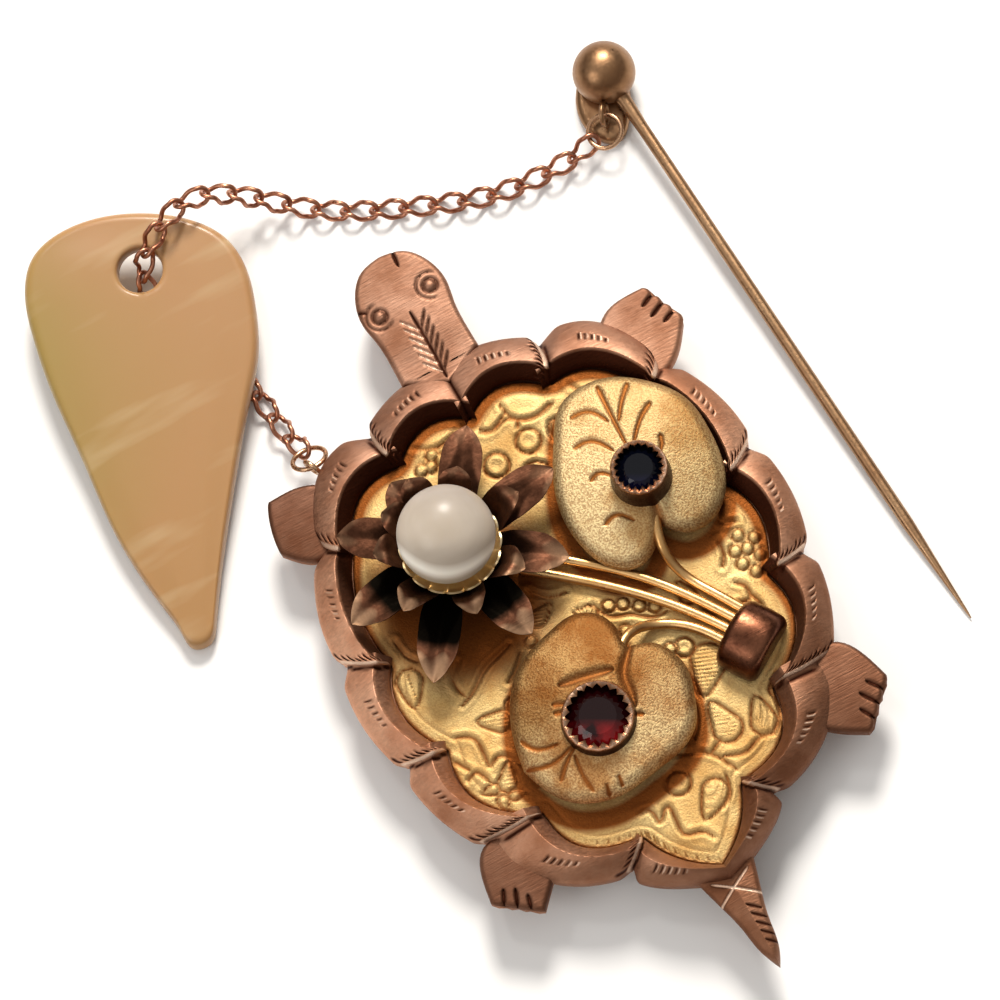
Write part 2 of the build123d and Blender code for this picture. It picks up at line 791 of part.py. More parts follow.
def stem(rows, x, y, place, heights):
    """A stem's wire from its flower to its place in the collar, counted from 0 at the left."""
    mouth = collar_mouth + collar_across * (stem_shift + (place - 1.5) * stem_spacing)
    start = Vector(x + rows.start_x, y + rows.start_y, stem_level)
    way = mouth - start
    left = Vector(-way.Y, way.X)
    points = [start] + [start + way * bend.along + left * bend.aside for bend in rows.bends]
    points = [point + Vector(0, 0, height) for point, height in zip(points, heights)]
    points += [mouth, mouth + collar_along * stem_in_collar]
    return stem_wire(points, rows.radii + [mouth_bend])


# A flower's stem starts inside the disc and comes down to the plate
disc_height = flower_base + 2 * stem_radius - stem_level
disc_heights = [disc_height, disc_height - stem_radius, 0, 0]
blue_stem = stem(blue_stem_rows, blue_x, blue_y, 3, disc_heights)
garnet_stem = stem(garnet_stem_rows, garnet_x, garnet_y, 0, disc_heights)
blue_flower = flower(
    blue_lobes, blue_veins, blue_x, blue_y, blue_half_width, blue_half_height,
    blue_stone_place, blue_stone_radius, blue_stem,
)
garnet_flower = flower(
    garnet_lobes, garnet_veins, garnet_x, garnet_y, garnet_half_width, garnet_half_height,
    garnet_stone_place, garnet_stone_radius, garnet_stem,
)
keep("blue_flower", blue_flower)
keep("garnet_flower", garnet_flower)


# Bezels and stones

bezel_base = flower_base + flower_thickness - bezel_seat_depth + seat_gap
stone_depth = stone_crown + stone_girdle + stone_pavilion


def bezel(x, y, radius, height):
    """A turned cup that narrows to its lip, which is cut into pointed teeth, with a shelf for the stone."""
    inside = radius + fit_gap
    shelf = height - bezel_wall - seat_gap - stone_crown - stone_girdle
    with BuildPart() as setting:
        with BuildSketch(upright_plane(x, y, bezel_base)):
            with BuildLine():
                Polyline(
                    (inside - bezel_lip, 0),
                    (bezel_foot(radius), 0),
                    (inside + bezel_wall, height),
                    (inside - bezel_lip, height),
                    (inside - bezel_lip, height - bezel_wall),
                    (inside, height - bezel_wall),
                    (inside, shelf),
                    (inside - bezel_lip, shelf - bezel_lip),
                    close=True,
                )
            make_face()
        revolve(axis=Axis((x, y, 0), (0, 0, 1)))
        with BuildSketch(Plane(origin=(x, y, bezel_base + height - bezel_wall))):
            points = []
            for k in range(2 * teeth_count):
                reach = inside - tooth_root if k % 2 else inside - bezel_lip
                angle = math.pi * k / teeth_count
                points.append((reach * math.cos(angle), reach * math.sin(angle)))
            with BuildLine():
                Polyline(*points, close=True)
            make_face()
        extrude(amount=2 * bezel_wall, mode=Mode.SUBTRACT)
    return setting.part


def stone(x, y, radius, height):
    """A cut stone: a flat table, a ring of crown facets, a thin girdle and a pointed pavilion."""
    top = bezel_base + height - bezel_wall - seat_gap
    rings = [
        (top - stone_depth, stone_culet),
        (top - stone_crown - stone_girdle, 1.0),
        (top - stone_crown, 1.0),
        (top, stone_table),
    ]
    with BuildPart() as gem:
        for (low, low_share), (high, high_share) in zip(rings, rings[1:]):
            with BuildSketch(Plane(origin=(x, y, low))):
                RegularPolygon(radius * low_share, stone_facets)
            with BuildSketch(Plane(origin=(x, y, high))):
                RegularPolygon(radius * high_share, stone_facets)
            loft(ruled=True)
    return gem.part


blue_stone_x = blue_x + blue_stone_place.x * blue_half_width
blue_stone_y = blue_y + blue_stone_place.y * blue_half_height
garnet_stone_x = garnet_x + garnet_stone_place.x * garnet_half_width
garnet_stone_y = garnet_y + garnet_stone_place.y * garnet_half_height
keep("blue_bezel", bezel(blue_stone_x, blue_stone_y, blue_stone_radius, blue_bezel_height))
keep("blue_stone", stone(blue_stone_x, blue_stone_y, blue_stone_radius, blue_bezel_height))
keep("garnet_bezel", bezel(garnet_stone_x, garnet_stone_y, garnet_stone_radius, garnet_bezel_height))
keep("garnet_stone", stone(garnet_stone_x, garnet_stone_y, garnet_stone_radius, garnet_bezel_height))


# Stems from the lotus, and the collar

lotus_heights = [0, 0]
keep("lotus_stem_a", stem(lotus_stem_rows[0], lotus_x, lotus_y, 1, lotus_heights))
keep("lotus_stem_b", stem(lotus_stem_rows[1], lotus_x, lotus_y, 2, lotus_heights))

collar_rise = relief_height + seat_gap
pocket_height = stem_height + stem_radius + seat_gap - collar_rise
collar_start = Plane(
    origin=collar_mouth + Vector(0, 0, collar_rise - stem_height),
    x_dir=collar_across,
    z_dir=collar_along,
)
with BuildPart() as stem_collar:
    with BuildSketch(collar_start):
        with BuildLine():
            ThreePointArc((-collar_width / 2, 0), (0, collar_height), (collar_width / 2, 0))
            Line((collar_width / 2, 0), (-collar_width / 2, 0))
        make_face()
    extrude(amount=collar_length)
    fillet(stem_collar.edges().filter_by(GeomType.CIRCLE), collar_round)
    # The pocket for the stems is open to the plate
    with BuildSketch(collar_start):
        with Locations((stem_shift, 0)):
            Rectangle(3 * stem_spacing + 2 * (stem_radius + stem_play), 2 * pocket_height)
    extrude(amount=stem_in_collar + seat_gap, mode=Mode.SUBTRACT)
keep("stem_collar", stem_collar.part)


# Pin on the back: a hinge block, a catch block and the wire between them, in one

pin_block_height = rest_height - seat_gap
hinge_y = hinge_place * shell_half_length
catch_y = catch_place * shell_half_length
with BuildPart() as brooch_pin:
    with BuildSketch():
        with Locations((0, hinge_y), (0, catch_y)):
            Rectangle(pin_block_width, pin_block_length)
    extrude(amount=pin_block_height)
    with BuildSketch(Plane(origin=(0, hinge_y, pin_wire_height), z_dir=(0, -1, 0))):
        Circle(pin_wire_radius)
    extrude(amount=hinge_y - catch_y)
keep("brooch_pin", brooch_pin.part)


# Rings and chain

def chain_plane(start, end):
    """A plane half way between two places, with X along the way and Y level."""
    along = (end - start).normalized()
    level = Vector(0, 0, 1).cross(along).normalized()
    return Plane(origin=(start + end) / 2, x_dir=along, z_dir=along.cross(level))


def twist_at(share):
    """The links' twist at a share of the chain's length, along straight lines between the chosen rows."""
    for before, after in zip(chain_twist, chain_twist[1:]):
        if share <= after.share:
            way = (share - before.share) / (after.share - before.share)
            return before.turn + way * (after.turn - before.turn)
    return chain_twist[-1].turn


# Each ring passes through the last link and through the eye on its other side
frame_ring_way = Vector(1, 0, 0).rotate(Axis.Y, frame_ring_dip).rotate(Axis.Z, frame_ring_heading)
chain_end = lug_middle + frame_ring_way * (2 * ring_radius - link_hook)
route_places = [Vector(lug_middle.X + x, lug_middle.Y + y, z) for x, y, z in chain_route]
route = Spline(*route_places, chain_end)
link_count = 2 * round((route.length / link_pitch - 1) / 2) + 1
link_length = route.length / link_count + 2 * link_hook
joints = [route.position_at(k / link_count) for k in range(link_count + 1)]


with BuildPart() as link:
    with BuildLine() as link_path:
        half_run = (link_length - link_width) / 2
        half_width = link_width / 2
        Line((-half_run, -half_width), (half_run, -half_width))
        ThreePointArc((half_run, -half_width), (link_length / 2, 0), (half_run, half_width))
        Line((half_run, half_width), (-half_run, half_width))
        ThreePointArc((-half_run, half_width), (-link_length / 2, 0), (-half_run, -half_width))
    with BuildSketch(Plane(origin=(-half_run, -half_width, 0), z_dir=(1, 0, 0))):
        Circle(link_wire / 2)
    sweep(path=link_path.line)

for k in range(link_count):
    turn = twist_at((k + 0.5) / link_count) + (45 if k % 2 else -45)
    place = chain_plane(joints[k], joints[k + 1]).location * Rotation(turn, 0, 0)
    keep(f"link_{k + 1:02d}", link.part.moved(place))

frame_ring_plane = chain_plane(chain_end, lug_middle)
frame_ring_plane.origin = lug_middle + frame_ring_way * ring_radius
keep("frame_ring", wire_ring(frame_ring_plane, ring_radius, ring_wire))

chain_way = (joints[0] - joints[1]).normalized()
pin_ring_plane = chain_plane(joints[1], joints[0])
pin_ring_plane.origin = joints[0] + chain_way * (ring_radius - link_hook)
keep("pin_ring", wire_ring(pin_ring_plane, ring_radius, ring_wire))


# Stick pin: a ball with a flat tongue under the ring, an eye for the ring and a long needle, in one

ring_middle = pin_ring_plane.origin
ring_normal = pin_ring_plane.z_dir
ball_middle = Vector(ring_middle.X + ball_from_ring_x, ring_middle.Y + ball_from_ring_y, ball_radius)
to_ball = ball_middle - ring_middle
eye_way = (to_ball - ring_normal * to_ball.dot(ring_normal)).normalized()
eye_plane = Plane(origin=ring_middle + eye_way * ring_radius, x_dir=eye_way, z_dir=eye_way.cross(ring_normal))
needle_start = ball_middle + Vector(needle_start_x, needle_start_y, -needle_start_drop)
needle_dip = math.degrees(math.asin((needle_start.Z - needle_tip_height) / needle_length))
needle_way = Vector(1, 0, 0).rotate(Axis.Y, needle_dip).rotate(Axis.Z, needle_heading)

with BuildPart() as stick_pin:
    with BuildSketch(Plane(origin=(ball_middle.X, ball_middle.Y, 0))):
        with BuildLine():
            tongue = Spline(*[(point.x * ball_radius, point.y * ball_radius) for point in tongue_points])
            Line(tongue @ 1, tongue @ 0)
        make_face()
    extrude(amount=tongue_thickness)
    fillet(stick_pin.edges().group_by(Axis.Z)[-1], tongue_round)
    with Locations(ball_middle):
        Sphere(ball_radius)
    add(wire_ring(eye_plane, pin_eye_radius, eye_wire))
    with BuildSketch(Plane(origin=needle_start, x_dir=needle_way, z_dir=needle_way.cross(Vector(0, 0, 1)))):
        with BuildLine():
            Polyline(
                (0, 0),
                (needle_length, 0),
                (needle_length, needle_point_radius),
                (needle_length - needle_point_length, needle_radius),
                (needle_neck_length, needle_radius),
                (0, needle_neck_radius),
                close=True,
            )
        make_face()
    revolve(axis=Axis(needle_start, needle_way))
keep("stick_pin", stick_pin.part)


# Shell drop

drop_along = Vector(1, 0, 0).rotate(Axis.Y, -drop_tilt).rotate(Axis.Z, drop_heading)
drop_across = Vector(0, -1, 0).rotate(Axis.Z, drop_heading)
drop_up = drop_across.cross(drop_along)
hole_middle = (lug_middle.X + hole_x, lug_middle.Y + hole_y, hole_height)
drop_plane = Plane(origin=hole_middle, x_dir=drop_along, z_dir=drop_up)

with BuildPart() as shell_drop:
    with BuildSketch(drop_plane):
        with BuildLine():
            outline = [Vector(row.along * drop_length, -row.across * drop_width) for row in drop_rows]
            hole_at = Vector(hole_along, -hole_across)
            Spline(*[point - hole_at for point in outline], periodic=True)
        make_face()
    extrude(amount=drop_thickness)
    with BuildSketch(drop_plane):
        Circle(hole_radius)
    extrude(amount=drop_thickness, mode=Mode.SUBTRACT)
    fillet(shell_drop.edges().filter_by(GeomType.LINE, reverse=True), drop_round)
keep("shell_drop", shell_drop.part)


# The finished model stands with the middle of its box over the origin

box = Compound(children=[Part() + part for part in pieces.values()]).bounding_box()
shift = Location((-box.center().X, -box.center().Y, -box.min.Z))
for name, part in pieces.items():
    placed = part.moved(shift)
    placed.label = name
    export_step(placed, f"parts/{name}.step")
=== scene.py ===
import math

import bpy
import numpy as np
from mathutils import Matrix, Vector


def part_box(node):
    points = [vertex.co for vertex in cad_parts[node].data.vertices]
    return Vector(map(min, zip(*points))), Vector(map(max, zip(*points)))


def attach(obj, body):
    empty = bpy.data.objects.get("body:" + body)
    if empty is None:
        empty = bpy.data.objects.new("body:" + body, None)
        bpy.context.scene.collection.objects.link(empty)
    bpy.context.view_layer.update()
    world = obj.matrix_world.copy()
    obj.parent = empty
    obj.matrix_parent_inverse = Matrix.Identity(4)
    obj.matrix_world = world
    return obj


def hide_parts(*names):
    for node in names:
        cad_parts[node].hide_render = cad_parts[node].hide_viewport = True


# A turtle brooch with a lotus, a pearl, two stone-set flowers, a chain, a shell drop and a stick pin.
# Shapes are worked out in millimetres from the turtle's middle, with X to its right and Y to its head,
# and putInMesh moves them to the model's own frame in metres.

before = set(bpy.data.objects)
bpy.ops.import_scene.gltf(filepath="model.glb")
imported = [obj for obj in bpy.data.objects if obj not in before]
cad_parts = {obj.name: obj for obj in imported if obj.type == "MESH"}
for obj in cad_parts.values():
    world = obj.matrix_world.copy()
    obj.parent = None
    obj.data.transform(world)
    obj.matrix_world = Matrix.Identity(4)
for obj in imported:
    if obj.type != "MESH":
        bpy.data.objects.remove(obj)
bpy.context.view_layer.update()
scene = bpy.context.scene
print("frame loaded:", len(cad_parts), "nodes")

mm = 0.001
lotusPlace = np.array([-4.854, 7.002])      # the pearl's middle from the turtle's middle
pearlMiddle = np.mean(np.array(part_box("pearl")), axis=0) / mm
turtleMiddle = np.append(pearlMiddle[:2] - lotusPlace, 0)
upward = np.array([0, 0, 1.0])

restHeight = 2.6         # underside of the turtle over the surface
plateTop = 3.5


# Lines, steps and rows of places

# A smooth line through points: a cubic for each stretch, whose slope and bend carry on from the one before,
# with no bend at open ends, read again at even steps of its length.
def smoothLine(points, count, closed=False):
    p = np.asarray(points, float)
    p = np.vstack([p, p[:1]]) if closed else p
    step = np.linalg.norm(np.diff(p, axis=0), axis=1)
    slope = np.diff(p, axis=0) / step[:, None]
    system, wanted = np.zeros((len(p), len(p))), np.zeros(p.shape)
    inner = np.arange(1, len(p) - 1)
    system[inner, inner - 1] = step[:-1]
    system[inner, inner] = 2 * (step[:-1] + step[1:])
    system[inner, inner + 1] = step[1:]
    wanted[inner] = 6 * np.diff(slope, axis=0)
    system[0, 0] = system[-1, -1] = 1
    if closed:
        system[0, -1] = -1
        system[-1, [0, 1, -2, -1]] = 2 * step[0], step[0], step[-1], 2 * step[-1]
        wanted[-1] = 6 * (slope[0] - slope[-1])
    bend = np.linalg.solve(system, wanted)
    t = np.linspace(0, 1, 24, endpoint=False)[None, :, None]      # 24 places in each stretch
    line = p[:-1, None] * (1 - t) + p[1:, None] * t
    line = line + step[:, None, None] ** 2 / 6 * (
        ((1 - t) ** 3 - (1 - t)) * bend[:-1, None] + (t**3 - t) * bend[1:, None])
    return evenLine(np.vstack([line.reshape(-1, p.shape[1]), p[-1:]]), count, closed)


# The same line read at even steps of its length.
def evenLine(line, count, closed=False):
    line = np.asarray(line, float)
    length = np.concatenate([[0], np.cumsum(np.linalg.norm(np.diff(line, axis=0), axis=1))])
    wanted = np.linspace(0, length[-1], count, endpoint=not closed)
    return np.stack([np.interp(wanted, length, line[:, k]) for k in range(line.shape[1])], axis=1)


# A curve of the second degree through three points, at shares 0, 1/2 and 1.
def throughThree(points, share):
    first, middle, last = np.asarray(points, float)[:, None]
    u = share[:, None]
    return first * (1 - u) * (1 - 2 * u) + middle * 4 * u * (1 - u) + last * u * (2 * u - 1)


# 0 below low, 1 above high and a smooth S between them.
def softStep(low, high, value):
    t = np.clip((value - low) / (high - low), 0, 1)
    return t * t * (3 - 2 * t)


# Directions, each brought to a length of 1.
def unit(way):
    return way / np.linalg.norm(way, axis=-1, keepdims=True)


# A bell: 1 in the middle and 1/e at the width. A higher power gives it a flat top and steep sides.
def bell(off, width, power=2):
    return np.exp(-((off / width) ** power))


# Nearest distance from places to a line of straight stretches, and how far along the line that is, as a share.
def lineDistance(x, y, line):
    line = np.asarray(line, float)
    best = np.full(np.shape(x), np.inf)
    share = np.zeros(np.shape(x))
    for k, (start, end) in enumerate(zip(line, line[1:])):
        way = end - start
        size = way @ way + 1e-12      # a stretch may have no length
        t = np.clip(((x - start[0]) * way[0] + (y - start[1]) * way[1]) / size, 0, 1)
        distance = np.hypot(x - start[0] - t * way[0], y - start[1] - t * way[1])
        nearer = distance < best
        best = np.where(nearer, distance, best)
        share = np.where(nearer, (k + t) / (len(line) - 1), share)
    return best, share


# A graver's cut: a bell across the line that is 1 in its middle. It thins out over the taper, a share of its
# length, towards both ends, and wedge is its width at the end as a share of the width at the start.
def cut(x, y, line, width, taper, wedge=1.0):
    distance, share = lineDistance(x, y, line)
    thin = np.clip(np.minimum(share, 1 - share) / taper, 0, 1) ** 0.5
    return bell(distance, width * (0.35 + 0.65 * thin) * (1 - (1 - wedge) * share))


# Several cuts of one shape: the strongest at each place.
def cuts(x, y, lines, *shape):
    return np.max([cut(x, y, line, *shape) for line in lines], axis=0)


# How far a rounded edge lies under the flat top: a quarter circle over the outermost stretch.
def edgeDrop(distance, radius):
    return radius * (1 - np.sqrt(1 - np.clip(1 - distance / radius, 0, 1) ** 2))


# Shares in even steps from stop to stop, with a number of steps for each stretch.
def graded(stops, steps):
    parts = [np.linspace(low, high, count, endpoint=False) for low, high, count in zip(stops, stops[1:], steps)]
    return np.append(np.concatenate(parts), stops[-1])


# Angles once round, in even steps.
def fullTurn(count):
    return np.linspace(0, 2 * np.pi, count, endpoint=False)


# Places on a circle at given angles. The radius may change from angle to angle.
def circle(turn, radius):
    return np.column_stack([radius * np.cos(turn), radius * np.sin(turn)])


# Flat places with their heights as a third number.
def lifted(places, heights):
    return np.concatenate([places, np.broadcast_to(heights, places.shape[:-1])[..., None]], axis=-1)


# Places from one edge to another, at shares of the way.
def between(edgeA, edgeB, across):
    return edgeA[:, None] * (1 - across[None, :, None]) + edgeB[:, None] * across[None, :, None]


# Loops that grow from a middle, or from an inner loop, to an outline, at shares of the way.
def grown(middle, outline, share):
    return middle + (outline - middle) * np.asarray(share)[:, None, None]


# Meshes

# A closed skin from rows of points, where each row is a closed loop. A ring joins its last row to its first.
# Other skins end in a fan round the middle of the row. Marks are one value per point: above 0 in engraved and
# patinated places and where shade or a shadow is painted, below 0 where a highlight is painted. On the lotus,
# above 0 is painted light with some wear at the petal tips and below 0 painted shade at their roots.
def makeShell(name, rows, look, node, ring=False, marks=None):
    rows = np.asarray(rows, float)
    count, around = rows.shape[:2]
    index = np.arange(count * around).reshape(count, around)
    low = index if ring else index[:-1]
    high = np.roll(index, -1, axis=0) if ring else index[1:]
    quads = np.stack([low, np.roll(low, -1, axis=1), np.roll(high, -1, axis=1), high], axis=-1).reshape(-1, 4)
    points = rows.reshape(-1, 3)
    values = np.zeros(len(points)) if marks is None else np.asarray(marks, float).reshape(-1)
    triangles = np.zeros((0, 3), int)
    if not ring:
        points = np.vstack([points, rows[0].mean(0), rows[-1].mean(0)])
        values = np.concatenate([values, values[:around].mean(keepdims=True), values[-around:].mean(keepdims=True)])
        first, last = index[0], index[-1]
        poles = len(points) - 2, len(points) - 1
        start = np.stack([np.roll(first, -1), first, np.full(around, poles[0])], axis=1)
        end = np.stack([last, np.roll(last, -1), np.full(around, poles[1])], axis=1)
        triangles = np.vstack([start, end])
    # The skin is turned inside out where it encloses less than nothing
    a, b, c, d = (points[quads[:, k]] for k in range(4))
    volume = np.einsum("ij,ij->", a, np.cross(b, c)) + np.einsum("ij,ij->", a, np.cross(c, d))
    a, b, c = (points[triangles[:, k]] for k in range(3))
    volume += np.einsum("ij,ij->", a, np.cross(b, c))
    if volume < 0:
        quads, triangles = quads[:, ::-1], triangles[:, ::-1]
    return putInMesh(name, points, quads, triangles, values, look, node)


sharpAngle = 48          # degrees between faces, from which an edge is drawn sharp


# Points, faces and values as a mesh object in metres, which takes the place of a CAD node.
def putInMesh(name, points, quads, triangles, values, look, node):
    mesh = bpy.data.meshes.new(name)
    placed = (points + turtleMiddle) * mm
    corners = np.concatenate([quads.ravel(), triangles.ravel()])
    starts = np.concatenate([np.arange(len(quads)) * 4, len(quads) * 4 + np.arange(len(triangles)) * 3])
    mesh.vertices.add(len(placed))
    mesh.vertices.foreach_set("co", placed.astype(np.float32).ravel())
    mesh.loops.add(len(corners))
    mesh.loops.foreach_set("vertex_index", corners.astype(np.int32))
    mesh.polygons.add(len(starts))
    mesh.polygons.foreach_set("loop_start", starts.astype(np.int32))
    mesh.polygons.foreach_set("use_smooth", np.ones(len(starts), bool))
    mesh.update(calc_edges=True)
    # The marks go in as an attribute: engraving and patina, and also painted shade, shadows and highlights
    mesh.attributes.new("marks_and_painted_light", "FLOAT", "POINT").data.foreach_set("value", values.astype(np.float32))
    mesh.set_sharp_from_angle(angle=math.radians(sharpAngle))
    mesh.materials.append(looks[look]["material"])
    piece = bpy.data.objects.new(name, mesh)
    scene.collection.objects.link(piece)
    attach(piece, "root")
    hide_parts(node)
    return piece


# A flat piece of the turtle: rows across it at the top's heights, and back below at about every eighth place.
def makeSlab(name, top, heights, marks):
    back = top[:, ::-1][:, ::max(1, top.shape[1] // 8)]
    rows = np.concatenate([lifted(top, heights), lifted(back, restHeight)], axis=1)
    marks = np.concatenate([marks, np.zeros(back.shape[:2])], axis=1)
    return makeShell(name, rows, "frame", "turtle_frame", marks=marks)


# A disc: loops that grow from its middle to its edge at the top's heights, and back to the middle below.
def makeDisc(name, top, heights, low, lowHeight, look, node, marks=0):
    rows = np.concatenate([lifted(top, heights), lifted(low, lowHeight)])
    marks = np.concatenate([marks + 0 * heights, np.zeros(low.shape[:2])])
    return makeShell(name, rows, look, node, marks=marks)


# A round rod along a path: circles square to the path, at radii that may change along it.
def rodRows(path, radius, around, over=upward, squash=1.0, ring=False):
    path = np.asarray(path, float)
    ahead = np.roll(path, -1, axis=0) - np.roll(path, 1, axis=0) if ring else np.gradient(path, axis=0)
    ahead = unit(ahead)
    aside = unit(np.cross(ahead, over))
    over = np.cross(aside, ahead)
    turn = fullTurn(around)[None, :, None]
    radius = np.broadcast_to(radius, len(path))[:, None, None]
    return path[:, None] + radius * (aside[:, None] * np.cos(turn) + squash * over[:, None] * np.sin(turn))


# A rod with rounded ends: a few last circles shrink as a quarter circle does.
def roundedRod(path, radius, around):
    ends = np.linspace(0, np.pi / 2, 6)[1:-1]
    start, end = unit(path[0] - path[1]), unit(path[-1] - path[-2])
    before = [path[0] + start * radius * math.sin(t) for t in ends[::-1]]
    after = [path[-1] + end * radius * math.sin(t) for t in ends]
    sizes = np.concatenate([np.cos(ends[::-1]), np.ones(len(path)), np.cos(ends)]) * radius
    return rodRows(np.vstack([before, path, after]), sizes, around)


# A ring of wire: circles carried round a circle that lies in the plane of two given directions.
def makeRing(name, middle, first, second, radius, wire, look, node):
    turn = fullTurn(72)[:, None]
    path = middle + radius * (first * np.cos(turn) + second * np.sin(turn))
    return makeShell(name, rodRows(path, wire, 20, np.cross(first, second), ring=True), look, node, ring=True)


# A ball: level circles whose radii and heights follow half a circle, with a small fan at each pole.
def makeBall(name, middle, radius, count, around, look, node):
    fall = np.linspace(0.02, np.pi - 0.02, count)
    rows = [lifted(circle(fullTurn(around), radius * math.sin(t)), radius * math.cos(t)) for t in fall]
    return makeShell(name, np.array(rows) + middle, look, node)


post = {"foot": 2.83, "middle": 4.0, "sink": 0.1}       # heights, and how far it goes into what it carries


# A round post from under the plate's top up into the piece that it carries.
def makePost(name, place, top, radius, look, node):
    path = [[*place, z] for z in (post["foot"], post["middle"], top + post["sink"])]
    return makeShell(name, rodRows(path, radius, 24, (1, 0, 0)), look, node)


# Materials

# A node of a material with its settings and its inputs, which are values or the outputs of other nodes.
def addNode(tree, kind, settings=None, inputs=None):
    node = tree.nodes.new(kind)
    for name, value in (settings or {}).items():
        setattr(node, name, value)
    for name, value in (inputs or {}).items():
        socket = node.inputs[name]
        if isinstance(value, bpy.types.NodeSocket):
            tree.links.new(value, socket)
        else:
            socket.default_value = (*value, 1.0) if socket.type == "RGBA" else value
    return node


# A material and its shader, with the values that are the same all over.
def startMaterial(name, **sockets):
    material = bpy.data.materials.new(name)
    material.use_nodes = True
    shader = material.node_tree.nodes["Principled BSDF"]
    for key, value in sockets.items():
        shader.inputs[key.replace("_", " ")].default_value = value
    return material, material.node_tree, shader


# Places in the object, turned by degrees and stretched.
def objectPlace(tree, scale=(1, 1, 1), turn=0):
    place = addNode(tree, "ShaderNodeTexCoord").outputs["Object"]
    return addNode(tree, "ShaderNodeMapping", None, {
        "Vector": place, "Scale": scale, "Rotation": (0, 0, math.radians(turn)),
    }).outputs["Vector"]


# Cloudy values from 0 to 1, finer with a larger scale.
def noise(tree, vector, scale, detail=4.0, roughness=0.55):
    return addNode(tree, "ShaderNodeTexNoise", None, {
        "Vector": vector, "Scale": scale, "Detail": detail, "Roughness": roughness,
    }).outputs["Fac"]


# A value carried from one range to another in a straight line, and held at its ends.
def ramp(tree, value, low, high, start=0.0, end=1.0):
    return addNode(tree, "ShaderNodeMapRange", None, {
        "Value": value, "From Min": low, "From Max": high, "To Min": start, "To Max": end,
    }).outputs["Result"]


# Two colours mixed by a share. Sockets 0, 6 and 7 are the share and the colours, output 2 the mixed colour.
def blend(tree, share, first, second, kind="MIX"):
    settings = {"data_type": "RGBA", "blend_type": kind}
    return addNode(tree, "ShaderNodeMix", settings, {0: share, 6: first, 7: second}).outputs[2]


# How far places lie along a direction in the object, in metres.
def alongWay(tree, place, way):
    return addNode(tree, "ShaderNodeVectorMath", {"operation": "DOT_PRODUCT"}, {0: place, 1: way}).outputs["Value"]


# Values added or multiplied, by the operation's name.
def maths(tree, operation, *values):
    return addNode(tree, "ShaderNodeMath", {"operation": operation}, dict(enumerate(values))).outputs["Value"]


# The shader's colour and its bumps: each has a height, a strength and a distance and lies on the one before.
def dress(tree, shader, colour, bumps=()):
    tree.links.new(colour, shader.inputs["Base Color"])
    below = {}
    for height, strength, distance in bumps:
        sizes = {"Height": height, "Strength": strength, "Distance": distance}
        below = {"Normal": addNode(tree, "ShaderNodeBump", None, {**sizes, **below}).outputs["Normal"]}
    for normal in below.values():
        tree.links.new(normal, shader.inputs["Normal"])


metal = {
    "brushTurn": 35,
    "speckleEdge": (0.42, 0.58),
    "scratchTurn": 98,
    "scratchStretch": (0.06, 2.2, 1),
    "scratchScale": 2600.0,
    "scratchEdge": (0.60, 0.66),
    "scratchHeight": 0.00003,
    "grainHeight": 0.00004,
    "roughLower": 0.16,      # how much the roughness falls and rises with the grain
    "roughHigher": 0.02,
    "roughPatches": 0.25,
    "bright": (0.74, 0.55, 0.42),       # painted highlights
}


# A worked metal: two tones of patina in soft patches, speckles of the worked surface, shades towards one side,
# places that take the deep colour where the marks are above 0, for engraving, patina and painted shade and
# shadow, and the bright colour of painted highlights where they are below, brush marks and fine scratches.
def metalLook(name, slot, light, dark, deep, roughness, patch=220.0, brush=(1, 1, 1), grain=0.25,
              grainScale=5200.0, scratch=0.25, tone=(0.35, 0.65), speckle=0.0, shades=(), bright=metal["bright"]):
    material, tree, shader = startMaterial(name, Metallic=1.0)
    place = objectPlace(tree)
    patches = noise(tree, place, patch, 5.0, 0.6)
    colour = blend(tree, ramp(tree, patches, *tone), light, dark)
    brushed = noise(tree, objectPlace(tree, brush, metal["brushTurn"]), grainScale, 3.0)
    if speckle:
        colour = blend(tree, ramp(tree, brushed, *metal["speckleEdge"], speckle, 0.0), colour, deep)
    # The shades make the colour darker towards one side: painted shade on the frame's tail side and on the flowers
    for shade in shades:
        darker = ramp(tree, alongWay(tree, place, shade["way"]), shade["from"], shade["to"])
        colour = blend(tree, darker, colour, shade["colour"], "MULTIPLY")
    marks_and_painted_light = addNode(tree, "ShaderNodeAttribute", {"attribute_name": "marks_and_painted_light"}).outputs["Fac"]
    # Marks above 0 take the deep colour of engraving, patina and painted shade, marks below 0 the bright colour of
    # painted highlights
    colour = blend(tree, ramp(tree, marks_and_painted_light, 0.1, 0.8), colour, deep)
    colour = blend(tree, ramp(tree, marks_and_painted_light, -0.1, -0.8), colour, bright)
    lines = noise(tree, objectPlace(tree, metal["scratchStretch"], metal["scratchTurn"]), metal["scratchScale"], 2.0)
    byGrain = ramp(tree, brushed, 0.3, 0.7, roughness - metal["roughLower"], roughness + metal["roughHigher"])
    rough = maths(tree, "MULTIPLY_ADD", patches, metal["roughPatches"], byGrain)
    tree.links.new(rough, shader.inputs["Roughness"])
    fine = ramp(tree, lines, *metal["scratchEdge"])
    dress(tree, shader, colour, [(brushed, grain, metal["grainHeight"]), (fine, scratch, metal["scratchHeight"])])
    return {"material": material, "slot": slot}


pearlTones = {
    "main": [(0.54, 0.47, 0.39), (0.46, 0.39, 0.31)],
    "paintedShadeGrey": (0.66, 0.66, 0.69),
    "paintedShadeGreyAt": (-0.0006, -0.0032),       # metres towards the tail; painted shade is full at the second
    "paintedReflection": (0.98, 0.94, 0.84),
    "paintedReflectionStart": (0.0010, 0.0015),  # in metres of bent distance, and so are the next two
    "paintedReflectionEnd": (0.0020, 0.0016),
    "foot": (0.46, 0.36, 0.22),
    "footAt": (0.0018, 0.0023),
    "middle": 0.0046,        # the pearl's middle across, from the origin
    "bend": 180.0,
}
